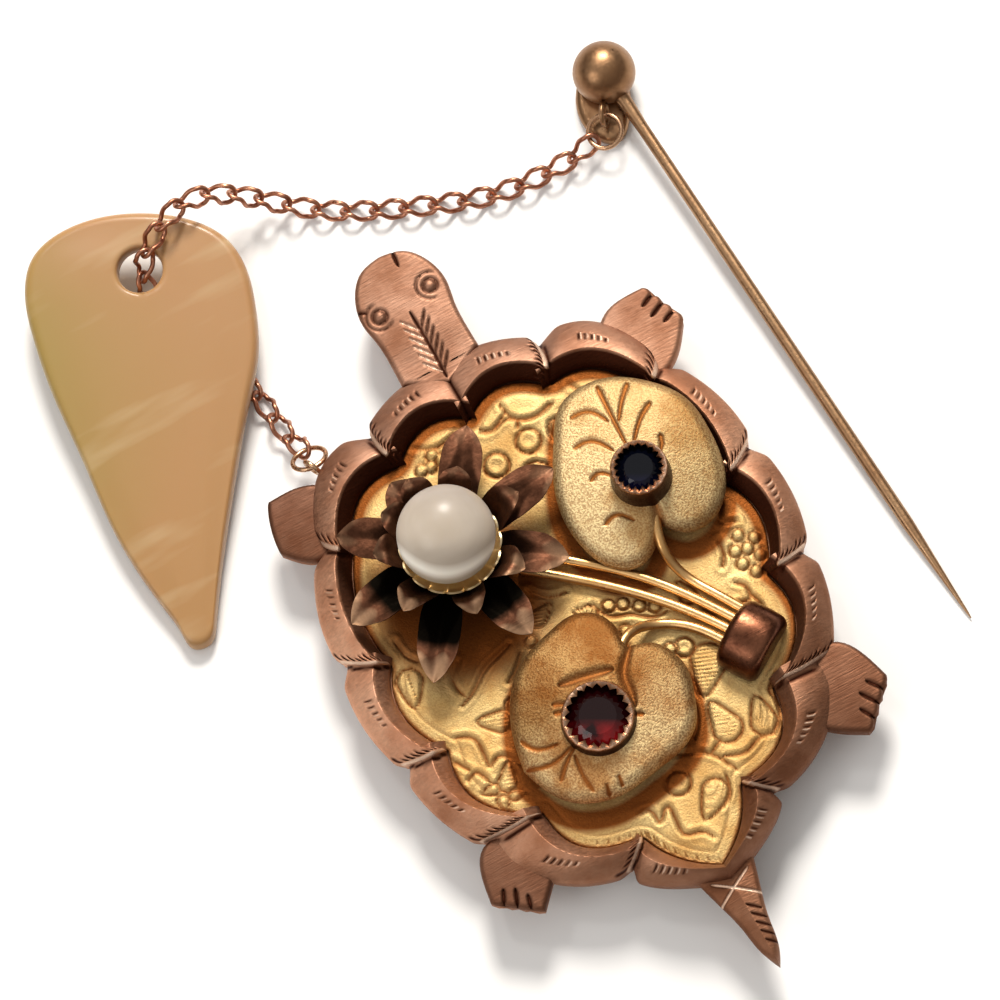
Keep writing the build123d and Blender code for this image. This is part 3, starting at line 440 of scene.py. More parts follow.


# Pearl: warm cream, with painted shade that greys it towards the head and the top, a painted reflection as a
# bent pale crescent low on the tail's side, and a darker foot. The bent distance is how far a place lies towards
# the tail plus a parabola of how far it lies across.
def pearlLook():
    material, tree, shader = startMaterial(
        "pearl lustre", Roughness=0.40, Coat_Weight=0.12, Coat_Roughness=0.20, Specular_IOR_Level=0.30,
        Subsurface_Weight=0.25, Subsurface_Scale=0.001, Subsurface_Radius=(1.0, 0.8, 0.6), Sheen_Weight=0.1,
    )
    place = objectPlace(tree)
    bands = noise(tree, objectPlace(tree, (1, 1, 2.5)), 260.0, 3.0)
    tones = pearlTones
    colour = blend(tree, ramp(tree, bands, 0.3, 0.7), *tones["main"])
    tailwards = alongWay(tree, place, (-0.479, -0.829, -0.29))
    across = maths(tree, "ADD", alongWay(tree, place, (0.877, -0.469, -0.108)), tones["middle"])
    bent = maths(tree, "MULTIPLY_ADD", maths(tree, "MULTIPLY", across, across), tones["bend"], tailwards)
    # The crescent is a painted reflection
    starts, ends = ramp(tree, bent, *tones["paintedReflectionStart"]), ramp(tree, bent, *tones["paintedReflectionEnd"])
    paintedReflection = maths(tree, "MULTIPLY", maths(tree, "MULTIPLY", starts, ends), 0.9)
    colour = blend(tree, ramp(tree, tailwards, *tones["paintedShadeGreyAt"]), colour, tones["paintedShadeGrey"], "MULTIPLY")
    colour = blend(tree, paintedReflection, colour, tones["paintedReflection"])
    colour = blend(tree, ramp(tree, bent, *tones["footAt"]), colour, tones["foot"])
    dress(tree, shader, colour, [(noise(tree, place, 1500.0), 0.06, 0.00005)])
    return {"material": material, "slot": "pearl"}


# A dark stone with a painted reflection inside it: a lighter colour in patches over one millimetre of the side
# towards the tail.
def gemLook(name, slot, deep, paintedGlint, paintedGlintFrom, transmission):
    material, tree, shader = startMaterial(
        name, Roughness=0.04, IOR=1.5, Specular_IOR_Level=0.25, Transmission_Weight=transmission,
    )
    place = objectPlace(tree)
    low = ramp(tree, alongWay(tree, place, (-0.479, -0.829, 0)), paintedGlintFrom, paintedGlintFrom + mm)
    patches = ramp(tree, noise(tree, place, 700.0), 0.35, 0.6)
    dress(tree, shader, blend(tree, maths(tree, "MULTIPLY", low, patches), deep, paintedGlint))
    return {"material": material, "slot": slot}


shellTones = {
    "main": (0.36, 0.195, 0.072),
    "streak": (0.50, 0.38, 0.22),
    # Other tones towards one side, with borders that waver by the wave's share of a metre
    "wave": 0.008,
    "sides": [
        {"way": (-0.55, 0.83, 0), "from": 0.024, "to": 0.036, "colour": (0.25, 0.205, 0.038)},
        {"way": (0.9, 0.3, 0), "from": -0.012, "to": 0.002, "colour": (0.375, 0.205, 0.088)},
    ],
}


# Shell with soft streaks: greenish cream at its wide left side, peach towards the tip and the right.
def dropLook():
    material, tree, shader = startMaterial(
        "shell drop", Roughness=0.36, Coat_Weight=0.15, Coat_Roughness=0.15, Subsurface_Weight=0.2,
        Subsurface_Scale=0.0015, Subsurface_Radius=(1.0, 0.6, 0.35), Specular_IOR_Level=0.35,
    )
    place = objectPlace(tree)
    wave = noise(tree, place, 90.0, 2.0)
    colour = shellTones["main"]
    for side in shellTones["sides"]:
        bent = maths(tree, "MULTIPLY_ADD", wave, shellTones["wave"], alongWay(tree, place, side["way"]))
        colour = blend(tree, ramp(tree, bent, side["from"], side["to"]), colour, side["colour"])
    streaks = noise(tree, objectPlace(tree, (0.16, 1.0, 0.4), -62), 420.0, 3.0)
    colour = blend(tree, ramp(tree, streaks, 0.50, 0.72, 0.0, 0.6), colour, shellTones["streak"])
    dress(tree, shader, colour, [(noise(tree, place, 700.0), 0.05, 0.00005)])
    return {"material": material, "slot": "drop_shell"}


# Shades: the colour is multiplied in along a direction, from none at the first distance to all at the second.
# Towards the tail and on the two flowers this is painted shade; towards the head the colour is only made darker.
paintedShadeTowardsTail = {"way": (0.5, -0.87, 0), "from": 0.0, "to": 0.024, "colour": (0.36, 0.31, 0.28)}
towardsHead = {"way": (0, 1, 0), "from": 0.001, "to": 0.009, "colour": (0.52, 0.51, 0.53)}
blueFlowerPaintedShade = {"way": (0.92, 0.39, 0), "from": 0.003, "to": 0.010, "colour": (0.60, 0.54, 0.46)}
garnetFlowerPaintedShade = {"way": (0.05, 1.0, 0), "from": -0.0180, "to": -0.0120, "colour": (0.38, 0.29, 0.21)}
stippled = {"patch": 270.0, "grain": 1.0, "grainScale": 8500.0, "scratch": 0.05, "speckle": 0.60}
looks = {
    "frame": metalLook(
        "frame copper", "frame_copper", (0.74, 0.42, 0.27), (0.48, 0.22, 0.12), (0.055, 0.016, 0.008), 0.52,
        patch=260.0, brush=(0.25, 1.6, 1), grain=0.6, speckle=0.12, shades=(paintedShadeTowardsTail, towardsHead)),
    # The plate's deep colour serves its engraving and the painted shadows under the rim, the flowers and the lotus
    "plate": metalLook(
        "plate gold", "plate_gold", (0.68, 0.51, 0.23), (0.55, 0.34, 0.12), (0.22, 0.066, 0.014), 0.52,
        patch=300.0, grain=0.9, grainScale=9000.0, scratch=0.1, speckle=0.30),
    # On the lotus the deep colour is the tan of painted light with some wear on the petal tips, and the bright colour
    # the black of painted shade with some patina at their roots.
    "lotus": metalLook(
        "lotus patina", "lotus_dark", (0.15, 0.062, 0.034), (0.055, 0.022, 0.012), (0.44, 0.27, 0.16), 0.56,
        patch=420.0, grain=0.5, tone=(0.40, 0.60), bright=(0.004, 0.003, 0.002)),
    "cup": metalLook("cup gold", "cup_gold", (0.90, 0.74, 0.46), (0.66, 0.46, 0.22), (0.16, 0.06, 0.02), 0.36),
    # The two flower golds are copies of one gold whose colours differ as painted light: the garnet flower's is made
    # lighter, and each has painted shade towards one side of its own.
    "blueFlower": metalLook(
        "blue flower gold", "flower_gold", (0.83, 0.67, 0.37), (0.64, 0.43, 0.19), (0.30, 0.11, 0.026), 0.52,
        tone=(0.44, 0.60), shades=(blueFlowerPaintedShade,), **stippled),
    "garnetFlower": metalLook(
        "garnet flower gold", "flower_gold", (0.98, 0.78, 0.42), (0.66, 0.38, 0.15), (0.28, 0.095, 0.022), 0.52,
        tone=(0.42, 0.58), shades=(garnetFlowerPaintedShade,), **stippled),
    "bezel": metalLook(
        "bezel gold", "bezel_gold", (0.58, 0.36, 0.22), (0.40, 0.20, 0.11), (0.045, 0.014, 0.008), 0.28,
        bright=(0.80, 0.60, 0.46)),
    "stem": metalLook(
        "stem gold", "stem_gold", (0.74, 0.48, 0.22), (0.54, 0.30, 0.11), (0.2, 0.06, 0.01), 0.28,
        grain=0.04, scratch=0.06),
    "collar": metalLook(
        "collar copper", "collar_copper", (0.19, 0.075, 0.040), (0.065, 0.022, 0.012), (0.04, 0.01, 0.005), 0.28,
        patch=500.0, grain=0.1, scratch=0.1),
    "back": metalLook("back metal", "back_metal", (0.16, 0.09, 0.05), (0.09, 0.045, 0.022), (0.1, 0.05, 0.03), 0.4),
    "ring": metalLook(
        "ring gold", "ring_gold", (0.60, 0.38, 0.23), (0.40, 0.22, 0.12), (0.1, 0.04, 0.02), 0.22,
        grain=0.05, scratch=0.1),
    "chain": metalLook(
        "chain copper", "chain_copper", (0.50, 0.24, 0.15), (0.28, 0.10, 0.055), (0.05, 0.015, 0.01), 0.30,
        patch=900.0, grain=0.05, scratch=0.05),
    "pin": metalLook(
        "pin bronze", "pin_bronze", (0.38, 0.23, 0.125), (0.24, 0.125, 0.06), (0.1, 0.04, 0.02), 0.30,
        grain=0.04, scratch=0.08),
    "pearl": pearlLook(),
    "blueGem": gemLook("blue stone", "blue_gem", (0.0010, 0.0014, 0.004), (0.006, 0.006, 0.030), -0.0021, 0.1),
    "garnetGem": gemLook("garnet", "garnet_gem", (0.010, 0.0006, 0.001), (0.30, 0.008, 0.010), 0.0120, 0.25),
    "drop": dropLook(),
}
print("materials made:", len(looks))


# Shell rim: 14 scutes, each over the start of the next

rim = {
    "halfWidth": 14.8,
    "halfLength": 18.0,
    "edgeHeight": 0.8,       # over the underside, at the outer edge
    "crestHeight": 2.05,
    "innerHeight": 1.0,      # where the inner side meets the plate
    "innerWidth": 0.9,       # from the crest to the inner edge, at most this share of the width:
    "innerShare": 0.42,
    "dome": 0.16,
    "step": 0.3,             # rise of a scute from its start to its end
    "lap": 0.07,             # share of its length under the scute before
    "startInset": 0.55,      # at the outer edge
    "cornerRound": 0.35,
    "endBulge": 0.42,
    "edgeRound": 0.24,
    "hatchSpacing": 0.31,
    "hatchLength": 1.0,
    "hatchWidth": 0.085,
    "hatchDepth": 0.13,
    "dashes": 5,
    "dashPlace": (0.36, 0.42),          # of the first one: shares along the scute and across it
    "dashStep": 0.46,
    "dashDrift": 0.012,      # how far each lies further in than the one before, as a share of the width
    "dashWidth": 0.075,
    "dashLength": 0.30,      # half, of the first one, and how much shorter the next one is:
    "dashShorter": 0.03,
    "dashDepth": 0.10,
    "highlightPlace": 0.17,       # from a dash to the painted highlight beside it
    "highlightWidth": 0.07,
    "seamWidth": 0.13,
    "seamDepth": 0.14,
    "lipPlace": 0.11,        # from the end to its lip, which has a painted highlight
    "lipWidth": 0.12,
    # Shares of the half width and half length: outer edge, inner edge
    "rows": [
        (0.000, 1.019, 0.000, 0.795), (0.209, 1.005, 0.176, 0.844), (0.392, 0.935, 0.351, 0.763),
        (0.642, 0.886, 0.554, 0.734), (0.797, 0.664, 0.689, 0.571), (0.922, 0.466, 0.784, 0.373),
        (0.956, 0.262, 0.770, 0.163), (0.990, 0.046, 0.831, 0.000), (0.939, -0.158, 0.740, -0.187),
        (0.912, -0.339, 0.733, -0.386), (0.811, -0.519, 0.527, -0.534), (0.628, -0.747, 0.449, -0.700),
        (0.345, -0.852, 0.226, -0.764), (0.253, -0.939, 0.142, -0.887), (0.000, -1.038, 0.000, -0.980),
    ],
}
rimSizes = np.array([rim["halfWidth"], rim["halfLength"]])
rimOuter = np.array([row[:2] for row in rim["rows"]]) * rimSizes
rimInner = np.array([row[2:] for row in rim["rows"]]) * rimSizes
paintedShadeWay = np.array([0.5, 0.87]) / rim["halfLength"]        # painted shade inside the rim is darkest this way


# Height of a scute's back over the underside: a slope with a parabola on it from the outer edge to the crest,
# then a hollow wall down to the plate.
def scuteBack(fromOuter, width):
    wall = np.minimum(rim["innerWidth"], rim["innerShare"] * width)
    outward = fromOuter / (width - wall)
    inward = np.clip((fromOuter - width) / wall + 1, 0, 1)
    rise = (rim["crestHeight"] - rim["edgeHeight"]) * outward + rim["dome"] * 4 * outward * (1 - outward)
    fall = (rim["crestHeight"] - rim["innerHeight"]) * ((1 - inward) ** 1.5 * 0.5 + np.sqrt(1 - inward**2) * 0.5)
    return np.where(outward < 1, rim["edgeHeight"] + rise, rim["innerHeight"] + fall)


# A scute: a patch between two curves through its three rows of the rim, with scuteBack as its height and an
# end that bulges as a parabola. Cuts, dashes and a seam are bells that are taken off the height.
def makeScute(name, side, first, seed):
    chance = np.random.default_rng(seed)
    turn = np.array([side, 1])
    isLast = first + 2 == len(rim["rows"]) - 1
    # Rows stand closest where the dashes and the cuts of the end are
    share = graded([-rim["lap"], 0, 0.33, 0.66, 0.8, 1], [3, 12, 33, 6, 31])
    across = np.unique(np.concatenate([np.linspace(0, 1, 78), np.linspace(0, 0.05, 6), np.linspace(0.75, 1, 26)]))
    outer = throughThree(rimOuter[first:first + 3] * turn, share)
    inner = throughThree(rimInner[first:first + 3] * turn, share)
    inset = (rim["startInset"] if first else 0.0) * (1 - softStep(0, 0.22, share))
    inset = inset + (0 if isLast else rim["cornerRound"]) * softStep(0.9, 1, share) ** 2
    outer = outer + unit(inner - outer) * inset[:, None]
    width = np.linalg.norm(inner - outer, axis=1)[:, None]
    middle = (outer + inner) / 2
    ahead = unit(np.gradient(middle, axis=0))
    length = np.linalg.norm(np.diff(middle, axis=0), axis=1).sum()
    u, v = share[:, None], across[None, :]
    bulge = (0 if isLast else rim["endBulge"]) * 4 * v * (1 - v) * softStep(0.3, 1, u)
    fromEnd = (1 - u) * length + 0 * v
    edges = np.minimum(v * width + 0 * u, np.inf if isLast else fromEnd)
    # Cuts along the end, each with its own length
    count = max(4, int(round(width[-1, 0] / rim["hatchSpacing"])))
    cell = np.clip((across * count).astype(int), 0, count - 1)
    offLine = (across * count - cell - 0.5) * width[-1, 0] / count
    reach = rim["hatchLength"] * chance.uniform(0.75, 1.1, count)[cell]
    inReach = softStep(0.22, 0.32, fromEnd) * (1 - softStep(reach - 0.4, reach, fromEnd))
    marks = bell(offLine, rim["hatchWidth"]) * inReach * rim["hatchDepth"] * (0 if isLast else 1)
    # A row of dashes on the back, each with a painted highlight on one side, stronger on the turtle's right
    paintedLightAndWear = 0 * marks
    for k in range(rim["dashes"]):
        off = (v - rim["dashPlace"][1] - rim["dashDrift"] * k) * width
        along = (u - rim["dashPlace"][0]) * length - rim["dashStep"] * k + 0.5 * off**2
        inLength = bell(off, rim["dashLength"] - rim["dashShorter"] * k, 4)
        marks = np.maximum(marks, bell(along, rim["dashWidth"]) * inLength * rim["dashDepth"])
        beside = bell(along - rim["highlightPlace"], rim["highlightWidth"]) * inLength
        paintedLightAndWear = np.maximum(paintedLightAndWear, beside * (chance.uniform(0.3, 0.8) + 0.35 * (side > 0)))
    # A groove where the scute comes out from under the one before
    fromStart = u * length - (4 * v * (1 - v) * rim["endBulge"] + 0.1 if first else 0)
    marks = np.maximum(marks, bell(fromStart, rim["seamWidth"]) * rim["seamDepth"])
    heights = restHeight + scuteBack(v * width, width) + rim["step"] * (u - 0.5)
    heights = heights - edgeDrop(edges, rim["edgeRound"]) - marks
    # The inner wall is painted dark: a light patina all round, and painted shade that is darkest at the head and on
    # the turtle's right
    shady = softStep(-0.7, 0.5, middle @ paintedShadeWay)[:, None]
    wall = np.minimum(rim["innerWidth"], rim["innerShare"] * width)
    patinaAndPaintedShade = (0.2 + 0.7 * shady) * softStep(width - wall, width - 0.75 * wall, v * width)
    marks = np.maximum(np.clip(marks / 0.12, 0, 1), patinaAndPaintedShade)
    # The lip of the end gets a painted highlight too, weaker where the inner wall is painted dark
    if not isLast:
        paintedLightAndWear = np.maximum(paintedLightAndWear, bell(fromEnd - rim["lipPlace"], rim["lipWidth"]) * (1 - patinaAndPaintedShade))
    # Painted highlights become marks below 0
    marks = np.where(paintedLightAndWear > 0.35, -0.9 * paintedLightAndWear, marks)
    return makeSlab(name, between(outer, inner, across) + ahead[:, None] * bulge[..., None], heights, marks)


firstRows = range(0, 14, 2)         # the first of each scute's three rows
for sideName, side in (("right", 1), ("left", -1)):
    for k, first in enumerate(firstRows):
        makeScute(f"scute_{sideName}_{k + 1}", side, first, 10 * k + side + 2)
print("scutes made")


# The inner edge of the scutes once round: down the right side and up the left one.
def innerEdge():
    loop = []
    for side in (1, -1):
        for first in firstRows[::side]:
            stretch = throughThree(rimInner[first:first + 3] * (side, 1), np.linspace(0, 1, 24))
            loop.append(stretch[::side][:-1])
    return np.vstack(loop)


innerLoop = innerEdge()
ledge = [(0.35, 0.0), (-0.7, 0.0), (-0.7, 0.35), (0.35, 0.35)]      # reach out of the inner edge, height


# A closed loop moved square to itself, outwards where the reach is more than nothing.
def movedLoop(loop, reach):
    ahead = unit(np.roll(loop, -2, axis=0) - np.roll(loop, 2, axis=0))
    outward = np.stack([ahead[:, 1], -ahead[:, 0]], axis=1)
    if np.einsum("ij,ij->", outward, loop) < 0:
        outward = -outward
    return loop + outward * reach


# The ledge under the plate: a flat ring whose section is a rectangle.
def makeLedge():
    rows = [lifted(movedLoop(innerLoop, reach), restHeight + height) for reach, height in ledge]
    return makeShell("plate_ledge", np.stack(rows, axis=1), "frame", "turtle_frame", ring=True)


makeLedge()


# Head and neck

head = {
    "halfWidth": 2.9,
    "length": 8.6,
    "start": 17.49,
    "neckPoint": 16.6,
    "shoulder": 18.0,
    "top": 1.2,              # over the underside
    "overRim": 0.16,
    "onRim": (16.0, 17.2),   # from all of the rim's height to all of the head's own
    "dome": 0.12,
    "domeStart": (18.5, 20.5),
    "edgeRound": 0.35,
    # Right side from the neck to the nose, as shares of the half width and the length
    "side": [(0.92, 0.00), (0.90, 0.25), (0.93, 0.45), (1.00, 0.60), (0.86, 0.82), (0.50, 0.96), (0.00, 1.00)],
    "eyes": [(-1.76, 22.58, 200), (1.85, 22.86, 160)],       # place, and where the brow opens
    "eyeDot": 0.34,
    "eyeHeight": 0.18,
    "eyeRing": (0.46, 0.09, 0.11),      # radius, width and depth
    "brow": (0.86, 0.08, 0.09),
    "browOpening": (95, 125),           # degrees from its middle to where it thins out and ends
    # Cuts: width, share of the length that thins out, and depth
    "crease": [(0.0, 17.1), (0.05, 19.0), (0.0, 21.9)],
    "creaseCut": (0.10, 0.15, 0.14),
    "barbs": [20.6, 20.0, 19.4, 18.8, 18.2, 17.6],
    "barbStart": 0.06,
    "barbReach": (0.85, 1.05),
    "barbCut": (0.08, 0.5, 0.11),
    "nicks": [[(0.85, 26.0), (0.75, 24.9)], [(-2.95, 23.6), (-2.35, 23.2)]],
    "nickCut": (0.10, 0.4, 0.16),
    "shoulderWidth": 0.16,
    "shoulderDepth": 0.12,
}


# The cuts of one kind at their own depth.
def engraved(x, y, lines, shape):
    width, taper, depth = shape
    return cuts(x, y, lines, width, taper) * depth


# The head: a slab between two mirrored sides with a low parabola on it, which climbs over the rim and ends in
# a point there. Eyes are half spheres in ringed grooves, brows are arcs.
def makeHead():
    side = np.array(head["side"]) * (head["halfWidth"], head["length"]) + (0, head["start"])
    curve = smoothLine(side, 110)
    curve[:, 0] = np.maximum(curve[:, 0], 0)
    # The neck ends in a point between the first scutes
    point = np.array([0.0, head["neckPoint"]])
    shoulder = np.array([side[0, 0], head["shoulder"]])
    neck = np.vstack([evenLine([point, shoulder], 30), evenLine([shoulder, curve[4]], 5)[1:-1]])
    right = np.vstack([neck, curve[curve[:, 1] > neck[-1, 1]]])
    left = right * (-1, 1)
    places = between(left, right, np.linspace(0, 1, 93))
    x, y = places[..., 0], places[..., 1]
    distance = lineDistance(x, y, np.vstack([left[::3], right[::-3], left[:1]]))[0]
    rimEdge, rimWidth = rimOuter[0, 1], rimOuter[0, 1] - rimInner[0, 1]
    overRim = scuteBack(np.clip(rimEdge - y, 0, rimWidth), rimWidth) - rim["step"] / 2 + head["overRim"]
    free = np.maximum(head["top"] + 0 * y, np.where(y < rimEdge, overRim, 0))
    onNeck = softStep(*head["onRim"], y)
    top = restHeight + free * onNeck + overRim * (1 - onNeck)
    top = top + head["dome"] * (1 - (x / head["halfWidth"]) ** 2) * softStep(*head["domeStart"], y)
    marks = engraved(x, y, [head["crease"]], head["creaseCut"])
    reachX, reachY = head["barbReach"]
    for way in (1, -1):
        barbs = [[(head["barbStart"] * way, barb), (reachX * way, barb + reachY)] for barb in head["barbs"]]
        strokes = engraved(x, y, barbs, head["barbCut"])
        marks = np.maximum(marks, strokes)
    paintedHighlightCuts = strokes / head["barbCut"][2]       # the left ones, which get painted highlights
    bumps = 0 * x
    for eyeX, eyeY, opening in head["eyes"]:
        r = np.hypot(x - eyeX, y - eyeY)
        bumps += head["eyeHeight"] * np.sqrt(np.clip(1 - (r / head["eyeDot"]) ** 2, 0, 1))
        turn = np.degrees(np.arctan2(y - eyeY, x - eyeX)) % 360
        away = np.abs((turn - opening + 180) % 360 - 180)
        closed = 1 - softStep(*head["browOpening"], away)
        for (radius, width, depth), share in ((head["eyeRing"], 1), (head["brow"], closed)):
            marks = np.maximum(marks, bell(r - radius, width) * depth * share)
    marks = np.maximum(marks, engraved(x, y, head["nicks"], head["nickCut"]))
    shoulders = np.vstack([left[:30:3][::-1], right[:30:3]])
    grooves = bell(lineDistance(x, y, shoulders)[0], head["shoulderWidth"])
    grooves = grooves * (1 - softStep(head["shoulder"], head["shoulder"] + 0.2, y))
    heights = top - edgeDrop(distance, head["edgeRound"]) - marks + bumps - head["shoulderDepth"] * grooves
    marks = np.maximum(np.clip(marks / 0.15, 0, 1), grooves)
    # The left barbs get painted highlights
    marks = np.where(paintedHighlightCuts > 0.45, -0.8 * paintedHighlightCuts, marks)
    return makeSlab("turtle_head", places, heights, marks)


makeHead()


# Feet: a slab between two edges from under the rim to the toes, with rounded toes in its end

feet = {
    "thickness": 0.9,
    "dome": 0.1,
    "edgeRound": 0.3,
    "cut": (0.12, 0.3, 0.16),
    "cutStarts": (46, 43),              # row of the foot's 60 rows, for every other cut
    # darkening: the least mark of a foot, so that it takes that much of the dark colour all over
    "foot_front_left": {
        "edgeA": [(-0.62, 0.82), (-0.73, 0.868), (-0.885, 0.875)],
        "edgeB": [(-0.75, 0.61), (-0.80, 0.605), (-0.94, 0.69)],
        "darkening": 0.60, "toes": 1, "toeDepth": 0.25, "cuts": 0,
    },
    "foot_front_right": {
        "edgeA": [(0.61, 0.83), (0.70, 0.895), (0.87, 0.91)],
        "edgeB": [(0.75, 0.60), (0.80, 0.61), (0.955, 0.735)],
        "darkening": 0.16, "toes": 4, "toeDepth": 0.28, "cuts": 3,
    },
    "foot_rear_left": {
        "edgeA": [(-0.70, -0.52), (-0.79, -0.53), (-0.88, -0.71)],
        "edgeB": [(-0.56, -0.70), (-0.60, -0.73), (-0.705, -0.82)],
        "darkening": 0.60, "toes": 4, "toeDepth": 0.10, "cuts": 3,
    },
    "foot_rear_right": {
        "edgeA": [(0.70, -0.49), (0.82, -0.49), (0.945, -0.675)],
        "edgeB": [(0.58, -0.70), (0.64, -0.75), (0.77, -0.82)],
        "darkening": 0.42, "toes": 4, "toeDepth": 0.18, "cuts": 3,
    },
}


# A foot: a slab with a half sine across it, whose end runs out in toes that are powers of a sine.
def makeFoot(name, spec):
    edgeA, edgeB = (smoothLine(np.array(spec[key]) * rimSizes, 60) for key in ("edgeA", "edgeB"))
    across = np.linspace(0, 1, 73)
    share = np.linspace(0, 1, 60)[:, None]
    ahead = unit(edgeA[-1] + edgeB[-1] - edgeA[-8] - edgeB[-8])
    toes = np.abs(np.sin(np.pi * spec["toes"] * across)) ** 0.6 * spec["toeDepth"]
    top = between(edgeA, edgeB, across) + (toes * softStep(0.75, 1, share))[..., None] * ahead
    x, y = top[..., 0], top[..., 1]
    distance = lineDistance(x, y, np.vstack([edgeA[::4], top[-1], edgeB[::-4]]))[0]
    marks = 0 * x
    last = len(across) - 1
    for k in range(spec["cuts"]):
        v = (k + 1) / spec["toes"]
        start = top[feet["cutStarts"][k % 2], int(round((v * 0.8 + 0.1) * last))]
        marks = np.maximum(marks, engraved(x, y, [[start, top[-1, int(round(v * last))]]], feet["cut"]))
    heights = restHeight + feet["thickness"] + feet["dome"] * np.sin(np.pi * across)
    heights = heights - edgeDrop(distance, feet["edgeRound"]) - marks
    return makeSlab(name, top, heights, np.clip(marks / 0.14, spec["darkening"], 1))


for name in ("foot_front_left", "foot_front_right", "foot_rear_left", "foot_rear_right"):
    makeFoot(name, feet[name])


# Tail: a narrowing slab with a crease, slanting barbs and a cross at its root

tail = {
    "halfWidth": 1.9,
    "length": 6.8,
    "thickness": 0.9,
    "ridge": 0.25,
    "edgeRound": 0.3,
    "side": [(1.00, 0.00), (0.72, 0.28), (0.45, 0.58), (0.28, 0.84), (0.00, 1.00)],
    "cross": [[(-1.5, -19.9), (1.2, -18.4)], [(-1.2, -18.3), (1.3, -20.2)]],
    "crossCut": (0.09, 0.1, 0.12),
    "barbs": [-20.6, -21.2, -21.8, -22.4, -23.0],
    "barbCut": (0.08, 0.5, 0.12),
}


# The tail: a slab between two mirrored sides with a roof on it. Its barbs are dark, and its cross has painted
# highlights.
def makeTail():
    side = np.array(tail["side"]) * (tail["halfWidth"], -tail["length"]) + (0, rimInner[-1, 1])
    right = smoothLine(side, 120)
    right[:, 0] = np.maximum(right[:, 0], 0)
    left = right * (-1, 1)
    across = np.linspace(0, 1, 71)
    places = between(left, right, across)
    x, y = places[..., 0], places[..., 1]
    distance = lineDistance(x, y, np.vstack([left[::3], right[::-3]]))[0]
    cross = engraved(x, y, tail["cross"], tail["crossCut"])
    barbs = [[(0.05, barb + 0.25), (0.75, barb - 0.35)] for barb in tail["barbs"]]
    marks = np.maximum(cross, engraved(x, y, barbs, tail["barbCut"]))
    ridge = tail["ridge"] * (1 - np.abs(across * 2 - 1))
    heights = restHeight + tail["thickness"] + ridge - edgeDrop(distance, tail["edgeRound"]) - marks
    cross = cross / tail["crossCut"][2]
    # The cross becomes marks below 0: painted highlights
    marks = np.where(cross > 0.3, -cross, np.clip(marks / 0.12, 0, 1))
    return makeSlab("turtle_tail", places, heights, marks)


makeTail()


# The lug that holds the chain's ring: a small ring on the second scute of the left side

lug = {"radius": 0.55, "wire": 0.15}
lugRoot = rimOuter[3] * (-1, 1)
lugOut = unit(np.append(lugRoot - rimInner[3] * (-1, 1), 0))
lugMiddle = np.append(lugRoot, restHeight + rim["edgeHeight"] / 2) + lugOut * lug["radius"]
makeRing("chain_lug", lugMiddle, lugOut, upward, lug["radius"], lug["wire"], "ring", "turtle_frame")
print("turtle made")


# The flowers' outlines, used for the flowers and for the painted shadow beside them: shares of their half sizes

flowers = {
    "blue": {
        "place": (7.0, 6.408), "half": (5.2, 5.8),
        "stone": (0.010, -0.240), "stoneRadius": 1.5, "bezelHeight": 3.0,
        "lobes": [
            [(-0.06, -0.74), (-0.26, -0.93), (-0.485, -1.00), (-0.75, -0.90), (-0.94, -0.61), (-1.00, -0.20),
             (-0.94, 0.09), (-0.65, 0.61)],
            [(-0.65, 0.61), (-0.36, 0.94), (-0.11, 1.00), (0.28, 0.94), (0.62, 0.72), (0.94, 0.31),
             (0.98, -0.05), (0.96, -0.32), (0.80, -0.72), (0.45, -0.95), (0.13, -0.92), (-0.06, -0.74)],
        ],
        "veins": [
            [(0.09, 0.88), (0.06, 0.49), (0.04, 0.13)], [(0.42, 0.75), (0.26, 0.60), (0.10, 0.40)],
            [(0.53, 0.43), (0.37, 0.34), (0.13, 0.11)], [(-0.36, 0.70), (-0.17, 0.68), (0.00, 0.45)],
            [(-0.50, 0.38), (-0.32, 0.37), (-0.12, 0.14)], [(-0.52, -0.02), (-0.41, 0.01), (-0.27, -0.10)],
            [(-0.62, -0.49), (-0.47, -0.46), (-0.30, -0.61)], [(0.44, 0.06), (0.40, -0.04), (0.31, -0.12)],
        ],
        "folds": [[(-0.06, -0.78), (-0.02, -0.62), (0.0, -0.52)]],
    },
    "garnet": {
        "place": (-1.894, -5.706), "half": (5.8, 5.7),
        "stone": (-0.060, -0.193), "stoneRadius": 1.95, "bezelHeight": 1.75,
        "lobes": [
            [(0.56, 0.37), (0.66, 0.35), (0.83, 0.28), (0.96, 0.07), (0.99, -0.15), (0.92, -0.40), (0.81, -0.65),
             (0.62, -0.81), (0.15, -0.93), (-0.19, -0.97), (-0.45, -0.92), (-0.70, -0.78), (-0.87, -0.55),
             (-0.98, -0.25)],
            [(-0.98, -0.25), (-0.91, 0.13), (-0.78, 0.44), (-0.61, 0.68), (-0.45, 0.80), (-0.03, 0.95),
             (0.23, 0.99), (0.44, 0.89), (0.54, 0.73), (0.56, 0.37)],
        ],
        "veins": [
            [(-0.40, 0.17), (-0.25, 0.09)], [(-0.43, 0.08), (-0.29, 0.01)],
            [(-0.86, 0.02), (-0.78, -0.13), (-0.54, -0.22)], [(-0.95, -0.27), (-0.72, -0.36), (-0.42, -0.31)],
            [(-0.70, -0.56), (-0.55, -0.42), (-0.41, -0.33)], [(-0.46, -0.82), (-0.48, -0.61), (-0.45, -0.40)],
            [(0.36, -0.38), (0.24, -0.32)], [(-0.18, -0.92), (-0.16, -0.80)], [(-0.34, -0.93), (-0.31, -0.82)],
        ],
        "folds": [
            [(0.58, 0.34), (0.47, 0.22), (0.38, 0.08), (0.36, -0.10), (0.32, -0.26)],
            [(-0.24, 0.32), (0.01, 0.27), (0.30, 0.20)],
        ],
    },
}


# Plate inside the rim: engraved rings, drops and vines, and raised berries

